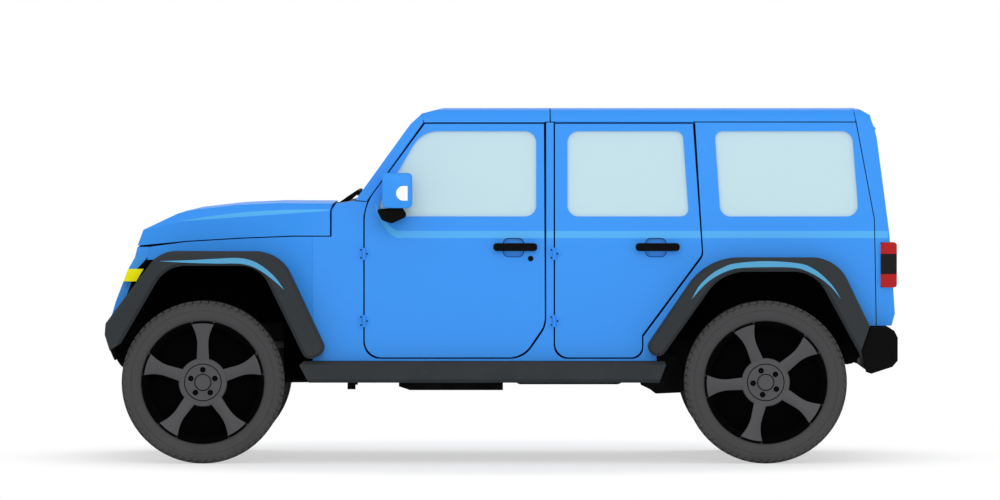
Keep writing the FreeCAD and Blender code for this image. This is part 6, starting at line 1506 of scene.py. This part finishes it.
@dataclass
class Seats(Assembly):
    """Cloth seats with sewn channels, in place of the plain solids."""

    voxel: float = 0.011
    corner_steps: int = 4
    swell_cap: float = 0.018
    pressure: float = 4.0
    cloth_frames: int = 20
    seam_depth: float = 0.008
    seam_width: float = 0.009
    fill: float = 0.6
    smooth: float = 80.0
    seat_y: float = 0.37
    pads: tuple[Pad, ...] = (
        Pad("cushion", (1.868, -0.23, 0.775), (2.30, 0.23, 0.888), 0.0, 0.04, (2.0, 2.12), (-0.14, 0.14)),
        Pad("backrest", (2.285, -0.225, 0.88), (2.375, 0.225, 1.455), 13.7, 0.035, (), (-0.14, 0.14)),
        Pad("head_pad", (2.428, -0.12, 1.50), (2.50, 0.12, 1.645), 0.0, 0.03),
        Pad("bench_cushion", (2.64, -0.575, 0.84), (3.07, 0.575, 0.885), 0.0, 0.022, (),
            (-0.42, -0.16, 0.16, 0.42)),
        Pad("bench_back", (3.055, -0.575, 0.885), (3.145, 0.575, 1.455), 13.7, 0.035, (),
            (-0.42, -0.16, 0.16, 0.42)),
    )
    # Each box of a front seat's frame: stations, distances from the seat's middle, heights and edge radius
    seat_boxes: tuple[Box, ...] = (
        ((1.90, 2.30), (-0.18, 0.18), (0.626, 0.70), 0.008),
        ((1.862, 2.33), (-0.235, 0.235), (0.70, 0.772), 0.02),
        ((2.455, 2.467), (-0.056, -0.044), (1.44, 1.53), 0.004),
        ((2.455, 2.467), (0.044, 0.056), (1.44, 1.53), 0.004),
    )
    bench_box: Box = ((2.70, 2.87), (-0.52, 0.52), (0.626, 0.835), 0.01)

    def swollen(self, pad: Pad) -> Piece:
        """Inflates one pad with cloth and presses its seams in."""
        low = pad.corner(pad.low)
        piece = as_object(pad.name, rounded_box(low, pad.corner(pad.high), pad.radius, self.corner_steps))
        remesh = piece.modifiers.new("skin", "REMESH")
        remesh.mode = "VOXEL"
        remesh.voxel_size = self.voxel
        settle(piece)
        self.inflate(piece)
        self.press_seams(piece, pad)
        foot = Vector((low[0], 0, low[2]))
        lean = Matrix.Rotation(math.radians(pad.lean), 4, "Y")
        piece.data.transform(Matrix.Translation(foot) @ lean @ Matrix.Translation(-foot))
        return piece

    def inflate(self, piece: Piece) -> None:
        """Runs the cloth under pressure and limits how far it swells."""
        rest = [vert.co.copy() for vert in piece.data.vertices]
        cloth = piece.modifiers.new("pressure", "CLOTH")
        cloth.settings.use_pressure = True
        cloth.settings.uniform_pressure_force = self.pressure
        cloth.settings.effector_weights.gravity = 0.0
        cloth.point_cache.frame_start = 1
        cloth.point_cache.frame_end = self.cloth_frames
        scene = bpy.context.scene
        for number in range(1, self.cloth_frames + 1):
            scene.frame_set(number)
        data = evaluated(piece)
        piece.modifiers.clear()
        for vert, start in zip(data.vertices, rest):
            move = vert.co - start
            if move.length > self.swell_cap:
                vert.co = start + move.normalized() * self.swell_cap
        piece.data = data
        scene.frame_set(1)

    def press_seams(self, piece: Piece, pad: Pad) -> None:
        """Presses sewn channels into the pad along its seam lines."""
        lines = [(0, along(x)) for x in pad.seams_x] + [(1, y) for y in pad.seams_y]
        for vert in piece.data.vertices:
            push = max((math.exp(-((vert.co[axis] - seam) / self.seam_width) ** 2) for axis, seam in lines),
                       default=0.0)
            vert.co -= vert.normal * self.seam_depth * push

    def finish_pad(self, piece: Piece) -> None:
        level = piece.modifiers.new("smooth", "SUBSURF")
        level.levels = level.render_levels = 1
        settle(piece)
        self.hand_over(piece, Finishes.FABRIC, "body", [], Slot.FABRIC, self.smooth)

    def frames(self) -> Mesh:
        """Seat bases, plinths and head restraint posts."""
        parts = []
        for side in Side:
            middle = side.value * self.seat_y
            parts += [station_box(x, (middle + y[0], middle + y[1]), z, radius)
                      for x, y, z, radius in self.seat_boxes]
        return joined(parts + [station_box(*self.bench_box)])

    def build(self) -> None:
        """Builds the seats."""
        self.add("seat_frames", self.frames(), Finishes.DASH, "body", ["seats"], Slot.FABRIC)
        for pad in self.pads:
            shape = self.swollen(pad)
            if pad.name.startswith("bench"):
                self.finish_pad(shape)
                continue
            for side in Side:
                data = shape.data.copy()
                data.transform(Matrix.Translation((0, side.value * self.seat_y, 0)))
                self.finish_pad(in_scene("%s_%s" % (pad.name, side.word), data))
            bpy.data.objects.remove(shape)


@dataclass
class Cabin(Assembly):
    """Dashboard with its vents and binnacle, and the steering wheel."""

    column: Spot = (0.8829, 0.0, 0.4695)
    rim_inset: float = 0.0155
    rim_thick: float = 0.015
    rim_wide: float = 0.0145
    rim_steps: int = 12
    rim_sides: int = 64
    hub_profile: Profile = (
        (-0.016, 0.0), (-0.016, 0.05), (-0.008, 0.058), (0.012, 0.058), (0.016, 0.05), (0.016, 0.0))
    hub_sides: int = 32
    spoke_half: float = 0.017
    spoke_y: Point = (-0.004, 0.006)
    spoke_root: float = 0.04
    spoke_edge: float = 0.003
    spoke_turns: tuple[float, ...] = (0.0, math.pi / 2, -math.pi / 2)
    binnacle: Box = ((1.52, 1.60), (-0.52, -0.22), (1.338, 1.375), 0.012)
    vents_y: tuple[float, ...] = (-0.62, -0.12, 0.12, 0.62)
    vent_half: float = 0.05
    slat_x: Point = (1.612, 1.638)
    slat_z: Point = (1.235, 1.240)
    slat_edge: float = 0.001
    slats: int = 6
    slat_pitch: float = 0.011

    def steering_wheel(self) -> None:
        """Padded rim, three spokes and hub in place of the plain ring."""
        low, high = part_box("steering_wheel")
        ring = (high.y - low.y) / 2 - self.rim_inset
        angles = [math.tau * step / self.rim_steps for step in range(self.rim_steps)]
        tube = [(self.rim_thick * math.sin(a), ring + self.rim_wide * math.cos(a)) for a in angles]
        parts = [spun(tube, self.rim_sides), spun(self.hub_profile, self.hub_sides, closed=False)]
        for turn in self.spoke_turns:
            spoke = rounded_box((-self.spoke_half, self.spoke_y[0], -ring),
                                (self.spoke_half, self.spoke_y[1], -self.spoke_root), self.spoke_edge)
            parts.append(turned(spoke, Matrix.Rotation(turn, 4, "Y")))
        lean = Vector((0, 1, 0)).rotation_difference(Vector(self.column).normalized()).to_matrix().to_4x4()
        mesh = turned(joined(parts), Matrix.Translation((low + high) / 2) @ lean)
        self.add("steering_wheel_rim", mesh, Finishes.DASH, "steering_wheel", ["steering_wheel"], Slot.DASH)

    def dashboard(self) -> None:
        """Binnacle and vents on the dashboard."""
        self.dress(["dashboard"], Finishes.DASH)
        self.add("binnacle", station_box(*self.binnacle), Finishes.DASH)
        for number, y in enumerate(self.vents_y):
            slat = station_box(self.slat_x, (y - self.vent_half, y + self.vent_half), self.slat_z,
                               self.slat_edge, 1)
            vent = self.copies.run(as_object("vent_%d" % number, slat), self.copies.row, {
                "Count": self.slats, "Step": (0.0, 0.0, self.slat_pitch),
                "Finish": self.palette[Finishes.TRIM]})
            self.hand_over(vent, Finishes.TRIM)

    def build(self) -> None:
        """Builds the cabin's hard parts."""
        self.dashboard()
        self.steering_wheel()


@dataclass
class RunningGear(Assembly):
    """Frame, axles, springs, driveline and tank."""

    spring_turns: float = 6.0
    spring_wire: float = 0.008
    kept: ClassVar[dict[Finishes, list[str]]] = {
        Finishes.CHASSIS: ["ladder_frame", "axles", "knuckle_left", "knuckle_right", "gearbox", "exhaust"],
        Finishes.IRON: ["engine"],
        Finishes.TANK: ["fuel_tank"],
    }

    def springs(self) -> None:
        """Coils in place of the plain spring columns."""
        groups: dict[tuple[bool, bool], list[Vector]] = {}
        for vert in frame["nodes"]["springs"].data.vertices:
            groups.setdefault((vert.co.x > 0, vert.co.y > 0), []).append(vert.co)
        mesh = None
        for number, spots in enumerate(groups.values()):
            low = Vector([min(spot[axis] for spot in spots) for axis in range(3)])
            high = Vector([max(spot[axis] for spot in spots) for axis in range(3)])
            feet = bmesh.new()
            feet.verts.new(((low.x + high.x) / 2, (low.y + high.y) / 2, low.z + self.spring_wire))
            piece = self.copies.run(as_object("coil_%d" % number, feet), self.copies.coil, {
                "Turns": self.spring_turns, "Radius": (high.x - low.x) / 2 - self.spring_wire,
                "Height": high.z - low.z - 2 * self.spring_wire, "Wire": self.spring_wire,
                "Finish": self.palette[Finishes.CHASSIS]})
            mesh = taken(piece, mesh)
        self.add("coil_springs", mesh, Finishes.CHASSIS, "body", ["springs"], Slot.CHASSIS)

    def build(self) -> None:
        """Dresses the running gear."""
        self.springs()
        for finish, nodes in self.kept.items():
            self.dress(nodes, finish)


@dataclass
class Mirrors(Assembly):
    """Door mirrors: painted head, black foot, pale glass and a white D-shaped plate on the side."""

    lens_flat_x: float = 1.62
    lens_round_x: float = 1.559
    lens_z: Point = (1.407, 1.485)
    lens_steps: int = 16
    lens_root: float = 0.01
    foot_top_z: float = 1.368
    sink: float = 0.0015
    edge: float = 0.003
    eased_turn: float = 40.0
    glass: tuple[Point, Point, Point, float, int] = ((1.633, 1.638), (0.85, 1.018), (1.379, 1.541), 0.002, 1)

    def lens_outline(self) -> list[Point]:
        """The white D-shaped plate, with its flat side to the rear."""
        low, high = self.lens_z
        half = (high - low) / 2
        centre = along(self.lens_round_x) + half
        angles = [math.pi / 2 - math.pi * step / self.lens_steps for step in range(self.lens_steps + 1)]
        flat = [(along(self.lens_flat_x), low), (along(self.lens_flat_x), high)]
        return flat + [(centre - half * math.cos(a), (low + high) / 2 + half * math.sin(a)) for a in angles]

    def head(self, side: Side) -> float:
        """Replaces one mirror by its shape with a sunk outer face, and gives that face's y."""
        node = "mirror_" + side.word
        low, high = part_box(node)
        outer = (low.y if side is Side.LEFT else high.y) - side.value * self.sink
        mesh = welded(node)
        for vert in mesh.verts:
            if abs(vert.co.y) > abs(outer):
                vert.co.y = outer
        eased(flattened(mesh), self.edge, math.radians(self.eased_turn))
        for face in mesh.faces:
            face.material_index = int(face.calc_center_median().z < self.foot_top_z)
        piece = as_object(node + "_shell", mesh)
        for finish in (Finishes.PAINT, Finishes.TRIM):
            piece.data.materials.append(self.palette[finish])
        self.hand_over(piece, None, "door_front_" + side.word, [node], Slot.PAINT)
        return outer

    def build(self) -> None:
        """Builds both mirrors with their white D plates and glass."""
        for side in Side:
            outer = self.head(side)
            door = "door_front_" + side.word
            # A white D-shaped plate on the head's outer face, in the mirror finish
            lens = extruded(self.lens_outline(), outer + side.value * self.sink,
                            outer - side.value * self.lens_root)
            self.add("mirror_lens_" + side.word, lens, Finishes.MIRROR, door)
            self.add("mirror_glass_" + side.word, station_box(*self.glass, side.value), Finishes.MIRROR, door)


@dataclass
class Studio:
    """Floor, world, lamps and the long-lens camera of the photograph."""

    mm_per_pixel: float = 5.352
    frame_pixels: int = 1000
    lens_mm: float = 300.0
    sensor_mm: float = 36.0
    view_end: float = 200.0
    near_plane_y: float = -0.8
    target_x: float = -0.006
    target_z: float = 1.14
    elevation: float = 1.0
    white: tuple[float, ...] = (1, 1, 1, 1)
    sky: float = 0.86
    floor_radius: float = 30.0
    floor_sides: int = 64
    floor_colour: tuple[float, ...] = (0.9, 0.9, 0.9, 1)
    floor_lift: float = 0.55
    shade_half_x: float = 2.9
    shade_half_y: float = 2.6
    shade_start: float = 0.45
    # Each lamp's place, size and power, and the height that both point at
    lamps: ClassVar[dict[str, tuple[Spot, float, float]]] = {
        "key": ((0, -14, 4), 9, 420), "fill": ((6, 7, 6), 7, 300)}
    aim_z: float = 0.9

    def shader(self, block: bpy.types.ID) -> Wiring:
        """Empties a material's or a world's node tree and gives its wiring."""
        block.use_nodes = True
        block.node_tree.nodes.clear()
        return Wiring(block.node_tree)

    def floor(self) -> None:
        """Pale floor that keeps the shadow and turns white where it is lit."""
        mesh = bmesh.new()
        bmesh.ops.create_circle(mesh, cap_ends=True, radius=self.floor_radius, segments=self.floor_sides)
        floor = as_object("studio_floor", mesh)
        material = bpy.data.materials.new("studio floor")
        wiring = self.shader(material)
        x, y, _ = wiring.split(wiring.add("ShaderNodeTexCoord").outputs["Object"])
        across = wiring.math("POWER", wiring.math("DIVIDE", x, self.shade_half_x), 2.0)
        deep = wiring.math("POWER", wiring.math("DIVIDE", y, self.shade_half_y), 2.0)
        away = wiring.step(wiring.math("ADD", across, deep), self.shade_start, 1.0)
        lift = wiring.math("ADD", wiring.times(away, 1.0 - self.floor_lift), self.floor_lift)
        paint = wiring.add("ShaderNodeBsdfDiffuse", {"Color": self.floor_colour}).outputs[0]
        glow = wiring.add("ShaderNodeEmission", {"Color": self.white, "Strength": 1.0}).outputs[0]
        both = wiring.add("ShaderNodeMixShader", {0: lift, 1: paint, 2: glow}).outputs[0]
        seen = wiring.add("ShaderNodeLightPath").outputs["Is Camera Ray"]
        mix = wiring.add("ShaderNodeMixShader", {0: seen, 1: paint, 2: both}).outputs[0]
        out = wiring.add("ShaderNodeOutputMaterial", {0: mix})
        out.is_active_output = True
        floor.data.materials.append(material)

    def world(self) -> None:
        """White to the camera, through glass and in reflections, and a plain level for the light."""
        world = bpy.data.worlds.new("studio sky")
        bpy.context.scene.world = world
        wiring = self.shader(world)
        path = wiring.add("ShaderNodeLightPath").outputs
        seen = wiring.math("MAXIMUM", path["Is Camera Ray"], path["Is Transmission Ray"])
        seen = wiring.math("MAXIMUM", seen, path["Is Glossy Ray"])
        level = wiring.math("ADD", wiring.times(seen, 1.0 - self.sky), self.sky)
        sky = wiring.add("ShaderNodeBackground", {"Color": self.white, "Strength": level})
        wiring.add("ShaderNodeOutputWorld", {0: sky.outputs[0]})

    def lamp(self, name: str, place: Spot, size: float, power: float) -> None:
        """One large soft lamp that points at the vehicle."""
        data = bpy.data.lights.new(name, "AREA")
        data.shape = "DISK"
        data.size = size
        data.energy = power
        lamp = in_scene(name, data)
        lamp.location = place
        aim = Vector((0, 0, self.aim_z)) - Vector(place)
        lamp.rotation_euler = aim.to_track_quat("-Z", "Y").to_euler()

    def camera(self) -> None:
        """The camera square to the left side, far away and a little above."""
        width = self.mm_per_pixel * self.frame_pixels / 1000
        distance = width * self.lens_mm / self.sensor_mm
        tilt = math.radians(self.elevation)
        data = bpy.data.cameras.new("side view")
        data.lens = self.lens_mm
        data.sensor_width = self.sensor_mm
        data.clip_end = self.view_end
        camera = in_scene("side view", data)
        target = Vector((self.target_x, self.near_plane_y, self.target_z))
        camera.location = target + Vector((0, -math.cos(tilt), math.sin(tilt))) * distance
        camera.rotation_euler = (math.pi / 2 - tilt, 0, 0)
        bpy.context.scene.camera = camera

    def build(self) -> None:
        """Builds the studio."""
        bpy.context.scene.view_settings.view_transform = "Standard"
        self.floor()
        self.world()
        for name, (place, size, power) in self.lamps.items():
            self.lamp(name, place, size, power)
        self.camera()


def main() -> None:
    """Builds every sub-assembly in order."""
    logging.basicConfig(level=logging.INFO, format="%(name)s: %(message)s")
    palette = Palette()
    copies = Copies()
    Studio().build()
    makers: list[Callable[[Palette, Copies], Assembly]] = [
        Panels, Seals, RoadWheels, FlareReflections, Lamps, Mirrors, Seats, Cabin, RunningGear]
    for maker in makers:
        maker(palette, copies).build()
        LOG.info("%s done", maker.__name__)


if __name__ == "__main__":
    main()
